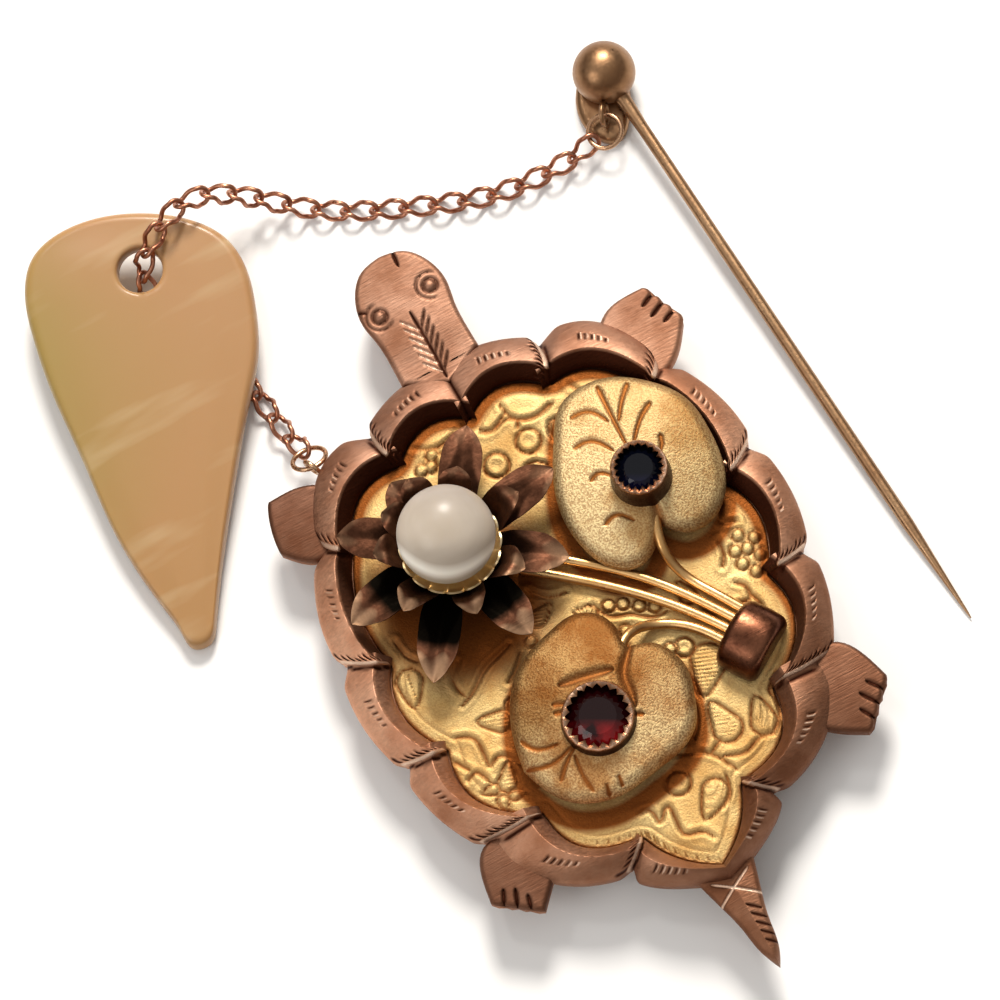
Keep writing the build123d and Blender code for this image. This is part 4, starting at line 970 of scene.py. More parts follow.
plate = {
    "thickness": 0.5,
    "gap": 0.08,
    "middle": (0.0, -0.8),
    "depth": 0.13,
    "line": 0.105,
    "raise": 0.07,
    "pillow": 0.10,
    "edgeRound": 0.12,
    "rings": [(2.4, 11.2, 0.62), (0.0, 10.8, 0.62), (0.1, -11.9, 0.6), (4.4, -4.8, 0.45)],
    # Middle, length, heading of the pointed end
    "drops": [
        (-11.0, 1.1, 2.5, -107), (-7.6, -3.2, 2.1, 150), (4.9, -6.7, 3.4, -128), (4.2, -9.9, 2.8, 95),
        (6.4, -10.7, 2.5, 80), (1.4, -13.8, 2.6, -140), (-8.5, -6.6, 1.9, 60), (-9.8, -6.8, 1.1, 170),
        (-9.5, -7.9, 1.1, -100), (-8.5, -7.8, 1.1, -20), (-6.0, -3.1, 1.5, -60), (-2.1, 1.3, 1.8, 20),
        (0.3, -0.0, 1.4, 150), (6.1, -1.8, 1.6, 100), (8.1, -9.5, 1.5, 60),
    ],
    "berries": [
        (-3.5, 12.7), (-2.7, 12.8), (-3.1, 13.3), (-4.1, 12.8), (10.5, -0.3), (10.6, -1.3), (11.3, -0.9), (9.9, -1.1),
        (9.9, -2.0), (11.1, -2.0), (10.4, -2.8), (1.8, -2.2), (2.5, -0.6), (3.3, -1.2), (1.7, -0.3), (4.1, -1.7),
        (0.6, -0.9), (-3.4, 0.1), (3.6, -4.5),
    ],
    "berryRadius": 0.40,
    "berryHeight": 0.15,
    "vines": [
        [(0.2, 13.3), (0.8, 12.9), (1.8, 13.1), (2.6, 12.6), (4.9, 12.6)],
        [(4.8, 11.5), (4.1, 11.6), (3.8, 11.1), (3.8, 10.5)],
        [(1.4, 9.9), (2.0, 9.9), (2.7, 9.3)],
        [(-10.2, -2.9), (-9.2, -3.5), (-9.1, -4.6), (-9.2, -5.5)],
        [(-9.2, -5.5), (-8.4, -5.2), (-7.5, -6.3)],
        [(-10.8, -5.6), (-10.1, -5.4), (-9.6, -6.3)],
        [(-10.9, -4.1), (-10.3, -5.1)],
        [(0.8, -10.3), (2.6, -11.3), (3.5, -12.9)],
        [(3.6, -10.8), (2.6, -11.3)],
        [(3.2, -11.8), (4.7, -12.2), (5.5, -11.9), (6.6, -12.1)],
        [(-2.8, -12.4), (-2.1, -12.6), (-2.0, -13.5), (-1.2, -12.8), (-1.1, -13.9), (-1.0, -14.9), (-0.1, -15.2),
         (0.4, -15.9)],
        [(8.9, -2.8), (9.4, -3.4), (9.2, -4.1), (8.5, -4.0)],
        [(0.9, 0.2), (1.6, -1.0), (2.6, -1.4), (3.6, -2.2), (4.6, -2.3)],
        [(-7.8, 1.2), (-8.6, 0.2), (-8.4, -1.0)],
        [(10.6, 2.0), (10.0, 1.0), (10.9, 0.5)],
        [(7.7, -9.8), (7.3, -11.2), (6.4, -12.0)],
        [(-3.9, 14.3), (-2.4, 13.6), (-1.2, 14.0)],
        [(6.2, 13.2), (7.0, 12.0), (8.6, 11.2)],
        [(2.0, 14.1), (2.2, 13.1), (2.8, 12.6), (3.8, 12.4), (4.7, 12.7)],
        [(0.1, 13.1), (0.7, 12.9), (1.5, 13.2), (1.9, 13.4)],
        [(2.1, 13.1), (2.4, 12.7), (2.2, 12.2)],
        [(2.8, -12.8), (2.5, -13.8), (1.7, -14.5)],
        [(1.4, 9.9), (2.0, 9.5), (2.5, 9.1)],
        [(-4.6, 0.6), (-5.6, 0.3), (-6.7, -0.1), (-7.8, -0.9), (-8.9, -1.4)],
        [(-4.2, -0.2), (-5.0, -1.0), (-5.8, -1.5)],
        [(-10.5, 4.2), (-10.4, 3.2), (-9.9, 2.4)],
        [(-2.0, 2.9), (-1.2, 2.0), (-0.1, 1.7)],
        [(0.2, -2.0), (0.7, -2.7), (1.4, -2.7)],
        [(6.5, -3.1), (6.9, -3.9), (6.9, -4.7)],
        [(9.3, -3.7), (9.6, -4.6), (9.5, -5.5)],
        [(9.3, -0.0), (9.2, -0.9), (8.7, -1.6)],
        [(3.2, -8.1), (2.9, -9.1), (2.2, -10.0)],
        [(7.6, -6.3), (7.7, -7.1), (7.2, -7.8)],
    ],
    "border": 0.75,          # from the edge to the engraved border
    "beads": 270,            # in the fine edge towards the tail
    "hatch": 0.26,
    # Painted shadow: how far it reaches beside the flowers, how far it is shifted towards the tail, where it lies
    # under the lotus, and the distances from there at which it thins out and ends
    "shadowWidth": 0.70,
    "shadowShift": (-0.35, -0.70),
    "lotusShadowMiddle": (-5.6, 4.6),
    "lotusShadowReach": (4.0, 7.2),
}


# The direction of a heading in degrees, and the direction square to it on its left.
def directions(heading):
    turn = math.radians(heading)
    return np.array([[math.cos(turn), math.sin(turn)], [-math.sin(turn), math.cos(turn)]])


# Distance from the outline of a drop: a circle at one end, run out to a point at the other.
def dropDistance(x, y, place, length, heading):
    ahead, aside = directions(heading)
    along = (x - place[0]) * ahead[0] + (y - place[1]) * ahead[1]
    off = (x - place[0]) * aside[0] + (y - place[1]) * aside[1]
    radius = length * 0.33
    share = np.clip((along + length / 2 - radius) / (length - radius), 0, 1)
    half = radius * np.sqrt(np.clip(1 - share, 0, 1)) * (1 - 0.12 * share)
    inCircle = np.hypot(along + length / 2 - radius, off) - radius
    return np.where(along < -length / 2 + radius, inCircle, np.maximum(np.abs(off) - half, along - length / 2))


# The plate: loops that grow from its middle to an edge just inside the rim, with a low pillow as their height.
# Its pattern is made of bells and soft steps of the distance from rings, drops, vines and berries.
def makePlate():
    edge = movedLoop(innerLoop, -plate["gap"])
    edge = evenLine(np.vstack([edge, edge[:1]]), 680, True)
    middle = np.array(plate["middle"])
    share = np.concatenate([[0.012], np.linspace(0.03, 1, 124) ** 0.9])
    top = grown(middle, edge, share)
    x, y = top[..., 0], top[..., 1]
    distance = np.linalg.norm(edge - middle, axis=1) * (1 - share[:, None])
    outside = share > 0.66
    distance[outside] = lineDistance(x[outside], y[outside], np.vstack([edge, edge[:1]])[::4])[0]
    wide = plate["line"]
    marks = bell(distance - plate["border"], wide) * 0.35
    # A fine beaded edge towards the tail
    bead = np.abs((np.linspace(0, 1, len(edge), endpoint=False) * plate["beads"]) % 1 - 0.5)[None, :]
    bead = softStep(0.2, 0.45, bead) * softStep(0.08, 0.16, distance) * (1 - softStep(0.45, 0.55, distance))
    marks = np.maximum(marks, 0.6 * bead * softStep(-11.0, -13.0, y) * softStep(1.0, 0.0, x))
    raised = 0 * x
    for ringX, ringY, radius in plate["rings"]:
        r = np.hypot(x - ringX, y - ringY)
        marks = np.maximum(marks, bell(r - radius - 0.16, wide))
        raised = np.maximum(raised, bell(r - radius * 0.72, 0.22))
    for dropX, dropY, length, heading in plate["drops"]:
        d = dropDistance(x, y, (dropX, dropY), length, heading)
        marks = np.maximum(marks, bell(d, wide))
        raised = np.maximum(raised, softStep(0.05, 0.35, -d))
        # Fine lines across the inside of a drop
        stroke = np.abs(((y - dropY + 0.4 * (x - dropX)) / plate["hatch"]) % 1 - 0.5)
        marks = np.maximum(marks, 0.45 * softStep(0.28, 0.5, stroke) * softStep(0.12, 0.22, -d))
    for vine in plate["vines"]:
        line = smoothLine(vine, 22)
        marks = np.maximum(marks, cut(x, y, line, wide * 1.15, 0.15))
        raised = np.maximum(raised, 0.7 * bell(lineDistance(x, y, line)[0] - 0.34, 0.14))
    berries = 0 * x
    for berryX, berryY in plate["berries"]:
        r = np.hypot(x - berryX, y - berryY)
        marks = np.maximum(marks, 0.8 * bell(r - plate["berryRadius"], 0.12))
        ball = np.sqrt(np.clip(1 - (r / plate["berryRadius"]) ** 2, 0, 1))
        berries = np.maximum(berries, plate["berryHeight"] * ball)
    marks = np.where(berries > 0.1, 0, marks)
    # Painted shadow: dark in the corner under the scutes, widest and darkest towards the head and the right, beside
    # the flowers, shifted towards the tail, and round the lotus
    shady = softStep(-0.5, 0.5, top @ paintedShadeWay)
    paintedShadow = bell(distance, 0.25 + 0.55 * shady, 4) * (0.6 + 0.4 * shady)
    for spec in flowers.values():
        for lobe in spec["lobes"]:
            outline = smoothLine(np.array(lobe) * spec["half"] + spec["place"], 40) + plate["shadowShift"]
            near = lineDistance(x, y, np.vstack([outline, outline[:1]]))[0]
            paintedShadow = np.maximum(paintedShadow, 0.95 * bell(near, plate["shadowWidth"], 4))
    fromLotus = np.hypot(x - plate["lotusShadowMiddle"][0], y - plate["lotusShadowMiddle"][1])
    paintedShadow = np.maximum(paintedShadow, 0.8 * (1 - softStep(*plate["lotusShadowReach"], fromLotus)))
    heights = plateTop - plate["pillow"] * (1 - softStep(0.0, 1.2, distance)) - edgeDrop(distance, plate["edgeRound"])
    heights = heights + plate["raise"] * raised * (1 - marks) - plate["depth"] * marks + berries
    low = grown(middle, edge, [1, 0.97, 0.6, 0.2])
    marks = np.maximum(0.75 * marks, paintedShadow)
    makeDisc("engraved_plate", top, heights, low, plateTop - plate["thickness"], "plate", "shell_plate", marks)


makePlate()
print("plate made")


# Lotus: two rows of creased petals

lotus = {
    "thickness": 0.28,
    "hub": 0.4,
    "crease": 0.62,          # rise of the edges over the crease, as a share of the half width
    "twist": 0.15,
    "tipDrop": 0.35,
    "ripple": 0.04,
    # Half widths along a petal, as shares of its half width
    "outline": [
        (0.0, 0.45), (0.18, 0.62), (0.38, 0.88), (0.56, 1.0), (0.72, 0.95), (0.84, 0.74), (0.93, 0.44), (1.0, 0.05),
    ],
    "outer": {
        "node": "lotus_outer_petals", "base": 4.2, "width": 2.9, "lift": 1.2, "riseFrom": 0.0, "black": 1.0,
        "turns": [9.5, 55, 104, 145, 189.5, 235, 283, 325],
        "lengths": [7.7, 7.6, 5.5, 6.95, 7.5, 8.4, 7.3, 7.1],
    },
    "inner": {
        "node": "lotus_inner_petals", "base": 4.6, "width": 2.35, "lift": 2.0, "riseFrom": 0.45, "black": 0.3,
        "turns": [8, 56, 94, 127, 160, 209, 262, 310],
        "lengths": [5.1, 4.7, 4.7, 4.5, 4.6, 5.0, 4.8, 4.9],
    },
}


# A petal: its half width follows the outline, it rises as a soft step of the way out and bends down again at
# its tip, and its two halves rise steeply from the crease. The lower skin lies under the upper one.
def makePetal(name, spec, length, turn, seed):
    chance = np.random.default_rng(seed)
    u = np.linspace(0, 1, 46)[:, None]
    v = np.linspace(-1, 1, 31)[None, :]
    outline = smoothLine(lotus["outline"], 200)
    half = np.interp(u, outline[:, 0], outline[:, 1]) * spec["width"] / 2
    along = lotus["hub"] + (length - lotus["hub"]) * u + 0 * v
    twist = chance.uniform(-lotus["twist"], lotus["twist"])
    fold = lotus["crease"] * (1 - 0.75 * softStep(0.6, 1.0, u))
    off = half * v * (1 - 0.12 * (1 - softStep(0.6, 1, u)))
    rise = spec["lift"] * (1.25 * softStep(spec["riseFrom"], 0.92, u) - lotus["tipDrop"] * softStep(0.76, 1.0, u))
    rise = rise + fold * (np.sqrt(v**2 + 0.01) - 0.1) * half + twist * off * u
    rise = rise + lotus["ripple"] * np.sin(7 * u + 3 * v + 6 * chance.random()) * u
    height = spec["base"] + lotus["thickness"] + np.minimum(rise, spec["lift"] + 0.35)
    thick = lotus["thickness"] * (1 - 0.6 * softStep(0.7, 1.0, u + 0 * v)) * (1 - 0.5 * np.abs(v) ** 6)
    ahead, aside = directions(turn)
    flat = lotusPlace + along[..., None] * ahead + off[..., None] * aside
    # Petals towards the tail have nearly black roots, painted shade with some patina, and tan tips, painted light
    # with some wear; the others are brown all over
    tip = softStep(0.72, 0.96, u + 0.06 * np.sin(5 * v))
    edge = softStep(0.90, 1.0, np.abs(v) + 0 * u) * softStep(0.2, 0.7, u)
    tailward = softStep(150, 200, turn) * (1 - 0.5 * softStep(290, 330, turn))
    paintedLightAndWear = np.maximum(tip, 0.3 * edge) * (0.25 + 0.7 * tailward) * chance.uniform(0.7, 1.0)
    root = 1 - softStep(0.45 + 0.2 * tailward, 0.75 + 0.08 * tailward, u + 0 * v)
    paintedLightAndWear = paintedLightAndWear - root * (0.25 + 0.75 * tailward * spec["black"])
    below = lifted(flat, np.maximum(height - thick, spec["base"]))[:, ::-1]
    rows = np.concatenate([lifted(flat, height), below], axis=1)
    marks = np.concatenate([paintedLightAndWear, np.minimum(paintedLightAndWear[:, ::-1], 0)], axis=1)
    return makeShell(name, rows, "lotus", spec["node"], marks=marks)


for rowName in ("outer", "inner"):
    spec = lotus[rowName]
    for k, (turn, length) in enumerate(zip(spec["turns"], spec["lengths"])):
        makePetal(f"petal_{rowName}_{k + 1}", spec, length, turn, 40 + k + len(rowName))
print("lotus made")


# Pearl in its toothed cup

pearl = {
    "radius": 2.95,
    "height": 8.25,
    "teeth": 16,
    "toothHeight": 0.40,
    "toothLean": 0.16,
    "cupBase": 5.0,
    "cupTop": 6.15,
    # Radius and height outside and inside the lip, and the lip's two radii
    "outside": [(0.3, 5.0), (1.6, 5.0), (2.4, 5.25), (2.85, 5.55)],
    "inside": [(2.6, 5.65), (1.9, 5.45), (0.3, 5.25)],
    "lip": [3.12, 3.0],
    "postRadius": 0.5,
}


# The cup: a turned wall round the pearl's foot whose upper edge rises and falls in rounded teeth.
def makeCup():
    turn = fullTurn(pearl["teeth"] * 12)
    gap = 1 - np.abs(np.cos(turn * pearl["teeth"] / 2)) ** 0.5
    top = pearl["cupTop"] - pearl["toothHeight"] * gap
    lip = [(radius - pearl["toothLean"] * gap, top) for radius in pearl["lip"]]
    rows = [lifted(circle(turn, radius), z) for radius, z in [*pearl["outside"], *lip, *pearl["inside"]]]
    makeShell("pearl_setting", np.array(rows) + np.append(lotusPlace, 0), "cup", "pearl_cup")


makeBall("pearl_ball", (*lotusPlace, pearl["height"]), pearl["radius"], 64, 96, "pearl", "pearl")
makeCup()
makePost("pearl_post", lotusPlace, pearl["cupBase"], pearl["postRadius"], "cup", "pearl_cup")


# Flowers: pillow discs with lobes, engraved veins and a stem

flowerMake = {
    "base": 4.75,
    "thickness": 1.5,
    "domeRadius": 18.0,
    "edgeRound": 0.7,
    "veinDepth": 0.14,
    "veinCut": (0.19, 0.12, 0.5),       # width, share of the length that thins out, width at the end as a share
    "foldDepth": 0.26,
    "foldCut": (0.30, 0.3),
    "seatEdge": 0.3,
    "seatDepth": 0.5,
    "postRadius": 0.6,
}


# A flower: loops that grow from the stone to the outline of the two lobes, with a part of a large ball as
# their height. Veins and folds are cuts, and the seat of the stone is a soft step down.
def makeFlower(name, spec):
    half, place = np.array(spec["half"]), np.array(spec["place"])
    lobes = [smoothLine(np.array(lobe) * half, 200) for lobe in spec["lobes"]]
    edge = evenLine(np.vstack([lobes[0], lobes[1][1:]]), 320, True)
    middle = np.array(spec["stone"]) * half
    top = grown(middle, edge, graded([0.02, 0.05, 0.9, 0.91, 1], [1, 65, 1, 13]))
    x, y = top[..., 0], top[..., 1]
    distance = lineDistance(x, y, np.vstack([edge, edge[:1]])[::2])[0]
    veins = cuts(x, y, [smoothLine(np.array(vein) * half, 12) for vein in spec["veins"]], *flowerMake["veinCut"])
    folds = cuts(x, y, [smoothLine(np.array(fold) * half, 16) for fold in spec["folds"]], *flowerMake["foldCut"])
    dome, seat = flowerMake["domeRadius"], spec["stoneRadius"]
    onSeat = 1 - softStep(seat, seat + flowerMake["seatEdge"], np.hypot(x - middle[0], y - middle[1]))
    heights = flowerMake["base"] + flowerMake["thickness"] - dome + np.sqrt(dome**2 - x**2 - y**2)
    heights = heights - edgeDrop(distance, flowerMake["edgeRound"]) - flowerMake["seatDepth"] * onSeat
    heights = heights - flowerMake["veinDepth"] * veins - flowerMake["foldDepth"] * folds
    low = grown(middle, edge, [0.985, 0.9, 0.5, 0.1]) + place
    marks = np.maximum(veins, 0.7 * folds)
    look, node = f"{name}Flower", f"{name}_flower"
    makeDisc(f"{name}_petals", top + place, heights, low, flowerMake["base"], look, node, marks)
    makePost(f"{name}_post", place, flowerMake["base"], flowerMake["postRadius"], look, node)


bezel = {
    "teeth": 20,
    "base": 5.2,
    # Loops from the foot over the teeth and down inside: radius over the stone's, how far a tooth reaches in,
    # share of the bezel's height, height added, how much lower it is between two teeth, and mark: painted shade
    # above 0 on the wall and inside, painted highlight below 0 on the teeth
    "loops": [
        (0.44, 0, 0, 0.00, 0, 1), (0.41, 0, 0, 0.25, 0, 1), (0.22, 0, 1, -0.36, 0, 0.7),
        (0.18, 0.03, 1, -0.12, 0.16, -0.3), (0.13, 0.08, 1, -0.02, 0.18, -0.4), (0.04, 0.16, 1, -0.03, 0.20, -0.2),
        (0.01, 0.30, 1, -0.12, 0.10, 0), (0.01, 0.29, 1, -0.21, 0, 0.6), (0.04, 0, 1, -0.27, 0, 1),
        (0.08, 0, 1, -0.60, 0, 1), (0.08, 0, 0, 0.20, 0, 1), (-0.22, 0, 0, 0.00, 0, 1),
    ],
}


# A toothed setting: a wall that narrows upwards, then teeth that lean in over the stone. The teeth are a
# triangle wave of the angle. The wall carries painted shade and the teeth painted highlights.
def makeBezel(name, spec):
    turn = fullTurn(bezel["teeth"] * 12)
    wave = np.abs(((turn * bezel["teeth"] / (2 * np.pi)) % 1) * 2 - 1)
    rows, deep = [], []
    for out, toothIn, share, height, gapDrop, mark in bezel["loops"]:
        z = bezel["base"] + spec["bezelHeight"] * share + height - gapDrop * (1 - wave)
        rows.append(lifted(circle(turn, spec["stoneRadius"] + out - toothIn * wave), z))
        # The marks are painted shade and painted highlights
        deep.append(mark)
    place = np.append(np.array(spec["place"]) + np.array(spec["stone"]) * spec["half"], 0)
    rows, marks = np.stack(rows, axis=1) + place, np.tile(deep, (len(turn), 1))
    return makeShell(f"{name}_setting", rows, "bezel", f"{name}_bezel", ring=True, marks=marks)


for name, spec in flowers.items():
    makeFlower(name, spec)
    makeBezel(name, spec)
for node, look in (("blue_stone", "blueGem"), ("garnet_stone", "garnetGem")):
    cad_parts[node].material_slots[0].material = looks[look]["material"]
print("flowers made")


# Pin on the back: a hinge block, a narrow catch behind the tail's root and the wire between them

backPin = {
    "hinge": 16.0,
    "catch": -18.5,
    "hingeWidth": 3.4,
    "catchWidth": 1.4,
    "blockLength": 2.4,
    "height": 2.55,
    "edge": 0.12,
    "wireHeight": 0.9,
    "wireRadius": 0.45,
    "wireEnd": 0.9,          # past the middle of the catch
    "wireTaper": 5.0,
    "wireTip": 0.22,
}


# An upright block with rounded edges: rows of an ellipse of a high power, drawn in a little at both ends.
def makeBlock(name, y, width):
    corner = circle(fullTurn(96), 1.0)
    square = np.sign(corner) * np.abs(corner) ** 0.3
    edge, high, length = backPin["edge"], backPin["height"], backPin["blockLength"]
    ends = [(edge, 0), (0.3 * edge, 0.3 * edge), (0, edge)]
    rows = []
    for inset, z in ends + [(inset, high - z) for inset, z in ends[::-1]]:
        rows.append(lifted(square * (width / 2 - inset, length / 2 - inset) + (0, y), z))
    makeShell(name, rows, "back", "brooch_pin")


# The wire: a straight rod that narrows to its tip in the catch.
def makePinWire():
    y = np.linspace(backPin["hinge"], backPin["catch"] - backPin["wireEnd"], 60)
    path = np.column_stack([0 * y, y, np.full(len(y), backPin["wireHeight"])])
    size = np.interp(y, [y[-1], y[-1] + backPin["wireTaper"]], [backPin["wireTip"], backPin["wireRadius"]])
    makeShell("pin_wire", rodRows(path, size, 24), "back", "brooch_pin")


makeBlock("pin_hinge", backPin["hinge"], backPin["hingeWidth"])
makeBlock("pin_catch", backPin["catch"], backPin["catchWidth"])
makePinWire()


# Stems and the collar that gathers them

stems = {
    "radius": 0.31,
    "level": 3.9,
    "spacing": 0.75,
    "shift": 0.4,
    "inCollar": 0.6,
}
# Start, heights over the level from there on, bends as shares along and to the left, and place in the collar
stemRows = {
    "blue_stem": {
        "node": "blue_flower", "start": (6.75, 2.91), "rise": [1.39, 1.12],
        "bends": [(0.233, -0.138), (0.484, -0.149), (0.755, -0.075)], "place": 3,
    },
    "garnet_stem": {
        "node": "garnet_flower", "start": (0.106, -4.306), "rise": [1.39, 1.12],
        "bends": [(0.186, 0.256), (0.460, 0.327), (0.718, 0.233)], "place": 0,
    },
    "lotus_wire_a": {
        "node": "lotus_stem_a", "start": (-1.704, 4.102), "rise": [0.0], "bends": [(0.604, 0.043)], "place": 1,
    },
    "lotus_wire_b": {
        "node": "lotus_stem_b", "start": (-1.004, 4.852), "rise": [0.0], "bends": [(0.584, 0.053)], "place": 2,
    },
}
collar = {
    "middle": (8.007, -6.606),
    "turn": 32.0,
    "width": 4.3,
    "length": 2.8,
    "height": 2.1,
    "base": 3.8,
    "round": 0.5,
    "swell": 0.05,
}
collarAcross, collarBack = directions(collar["turn"])
collarAlong = -collarBack
collarMouth = np.array(collar["middle"]) - collarAlong * collar["length"] / 2


# A stem: a smooth line from the flower or the lotus by its bends into the collar, as a rod with rounded ends.
def makeStem(name, spec):
    mouth = collarMouth + collarAcross * (stems["shift"] + (spec["place"] - 1.5) * stems["spacing"])
    start = np.array(spec["start"])
    way = mouth - start
    left = np.array([-way[1], way[0]])
    points = [start] + [start + way * along + left * aside for along, aside in spec["bends"]]
    points += [mouth, mouth + collarAlong * stems["inCollar"]]
    levels = np.full(len(points), stems["level"])
    levels[:len(spec["rise"])] += spec["rise"]
    path = smoothLine(np.column_stack([points, levels]), 90)
    return makeShell(name, roundedRod(path, stems["radius"], 20), "stem", spec["node"])


for name, spec in stemRows.items():
    makeStem(name, spec)


# The collar: an arch carried along its length, with both ends rounded off, on a flat foot.
def makeCollar():
    ends = np.linspace(0, np.pi / 2, 9)
    curve, length = collar["round"], collar["length"]
    along = np.concatenate([
        curve * (1 - np.cos(ends)), np.linspace(curve, length - curve, 14)[1:-1],
        length - curve * (1 - np.cos(ends[::-1])),
    ])
    shrink = np.concatenate([np.sin(ends), np.ones(12), np.sin(ends[::-1])]) * curve - curve
    turn = np.linspace(0, np.pi, 41)
    half = collar["width"] / 2 + shrink[:, None]
    swell = 1 + collar["swell"] * np.sin(np.pi * along / length)[:, None]
    foot = np.linspace(-1, 1, 9)[1:-1] * half
    off = np.concatenate([half * np.cos(turn) * swell, foot], axis=1)
    height = np.concatenate([(collar["height"] + shrink[:, None]) * np.sin(turn) ** 0.9 * swell, 0 * foot], axis=1)
    flat = collarMouth + along[:, None, None] * collarAlong + off[..., None] * collarAcross
    return makeShell("stem_barrel", lifted(flat, collar["base"] + height), "collar", "stem_collar")


makeCollar()
print("stems made")


# Chain and rings, each set on its own node: the node's points give its middle and its three directions

chain = {"wire": 0.15, "width": 1.08, "twist": 45.0, "flat": 0.9, "ringRadius": 1.06, "ringWire": 0.15}


# The middle of a node, its directions and its sizes along them, longest first, from the spread of its points.
def nodeDirections(node):
    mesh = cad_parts[node].data
    points = np.zeros(len(mesh.vertices) * 3)
    mesh.vertices.foreach_get("co", points)
    points = points.reshape(-1, 3) / mm - turtleMiddle
    centre = points.mean(0)
    ways = np.linalg.eigh(np.cov((points - centre).T))[1][:, ::-1].T
    reach = (points - centre) @ ways.T
    return centre + ((reach.max(0) + reach.min(0)) / 2) @ ways, ways, reach.max(0) - reach.min(0)


# A link: two straight sides and two half circles, twisted about its length so that its ends hook square to
# each other and the whole chain lies flat.
def makeLink(node, before, after):
    middle, ways, size = nodeDirections(node)
    ahead = ways[0] * np.sign(ways[0] @ (after - before))
    aside = unit(np.cross(upward, ahead))
    over = np.cross(ahead, aside)
    half = chain["width"] / 2
    run = size[0] / 2 - chain["wire"] - half
    right = circle(np.linspace(-np.pi / 2, np.pi / 2, 21), half) + (run, 0)
    path = evenLine(np.vstack([right, -right, right[:1]]), 64, True)
    twist = np.radians(chain["twist"]) * (2 * softStep(-run, run, path[:, :1]) - 1)
    path = middle + path[:, :1] * ahead + path[:, 1:] * (np.cos(twist) * aside + np.sin(twist) * over)
    rows = rodRows(path, chain["wire"], 14, over, chain["flat"], ring=True)
    return makeShell(node + "_wire", rows, "chain", node, ring=True)


linkNames = sorted(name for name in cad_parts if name.startswith("link_"))
linkMiddles = [nodeDirections(name)[0] for name in linkNames]
linkMiddles = [2 * linkMiddles[0] - linkMiddles[1], *linkMiddles, 2 * linkMiddles[-1] - linkMiddles[-2]]
for name, before, after in zip(linkNames, linkMiddles, linkMiddles[2:]):
    makeLink(name, before, after)
for name in ("frame_ring", "pin_ring"):
    middle, ways, size = nodeDirections(name)
    makeRing(name + "_wire", middle, ways[0], ways[1], chain["ringRadius"], chain["ringWire"], "ring", name)
print("chain made:", len(linkNames), "links")


# Shell drop: a flat skin from the edge of the hole to the outline and back below

drop = {
    "hole": (-13.11, 33.10, 1.964),
    "holeRadius": 1.4,
    "heading": 75.6,
    "tilt": 4.8,
    "length": 28.0,
    "width": 13.8,
    "thickness": 1.4,
    "holeAt": (24.0, 1.9),
    "edge": 0.62,            # radii of the rounded edges
    "holeEdge": 0.3,
    "lowEdge": 0.4,
    "lowHoleEdge": 0.25,
    "dish": 0.12,            # how far the rim lies lower than the middle, and how wide it is:
    "dishWidth": 4,
    "outline": [
        (0.100, -0.108), (0.298, -0.249), (0.479, -0.314), (0.643, -0.375), (0.782, -0.400), (0.876, -0.390),
        (0.952, -0.317), (0.993, -0.159), (1.000, 0.060), (0.978, 0.257), (0.934, 0.436), (0.880, 0.545),
        (0.800, 0.598), (0.712, 0.595), (0.603, 0.552), (0.514, 0.472), (0.348, 0.323), (0.178, 0.182),
        (0.050, 0.090), (0.010, 0.040), (0.010, -0.035), (0.050, -0.070),
    ],
}


# The drop: loops that grow from the hole to the outline, above with a wide edge that is a quarter circle and
# back below, laid out along a tilted direction.
def makeDrop():
    outline = smoothLine(np.array(drop["outline"]) * (drop["length"], -drop["width"]), 320, True)
    outline = outline - (drop["holeAt"][0], -drop["holeAt"][1])
    hole = unit(outline) * drop["holeRadius"]
    gap = np.linalg.norm(outline - hole, axis=1)
    share = graded([0, 0.03, 0.94, 0.95, 1], [3, 33, 1, 8])
    lowShare = np.array([1, 0.985, 0.95, 0.7, 0.3, 0.04, 0])
    fromEdge = gap * (1 - share[:, None])
    height = drop["thickness"] - edgeDrop(fromEdge, drop["edge"]) - edgeDrop(gap * share[:, None], drop["holeEdge"])
    height = height - drop["dish"] * (1 - softStep(0, drop["dishWidth"], fromEdge))
    lowHeight = edgeDrop(gap * (1 - lowShare[:, None]), drop["lowEdge"])
    lowHeight = lowHeight + edgeDrop(gap * lowShare[:, None], drop["lowHoleEdge"])
    flat = np.concatenate([grown(hole, outline, share), grown(hole, outline, lowShare)])
    level = np.concatenate([height, lowHeight])
    ahead, aside = directions(drop["heading"])
    tilt = math.radians(drop["tilt"])
    along, across = np.append(ahead * math.cos(tilt), math.sin(tilt)), np.append(aside, 0)
    over = np.cross(along, across)
    rows = np.array(drop["hole"]) + flat[..., :1] * along + flat[..., 1:] * across + level[..., None] * over
    return makeShell("shell_pendant", rows.transpose(1, 0, 2), "drop", "shell_drop", ring=True)


makeDrop()


# Stick pin: a ball, a tongue under it, an eye for the ring and a long needle

stickPin = {
    "ball": (17.80, 30.333, 1.95),
    "ballRadius": 1.95,
    "needleStart": (18.0, 29.183, 1.5),
    "needleWay": (0.059273, -0.997682, -0.0333),
    # Places along the needle and its radii there
    "needle": [(0, 0.52), (3.0, 0.38), (33.1, 0.38), (39.5, 0.09), (40.1, 0.04)],
    "tongueThickness": 0.8,
    "tongueDome": 0.08,
    "tongueEdge": 0.45,
    "tongueUnder": 0.005,
    "tongue": [
        (-0.85, 0.40), (-1.15, -0.07), (-1.34, -0.95), (-1.16, -1.60), (-0.88, -1.92), (-0.49, -1.98),
        (-0.05, -1.62), (0.34, -1.05), (0.60, -0.40),
    ],
    "eyeRadius": 0.7,
    "eyeWire": 0.15,
}


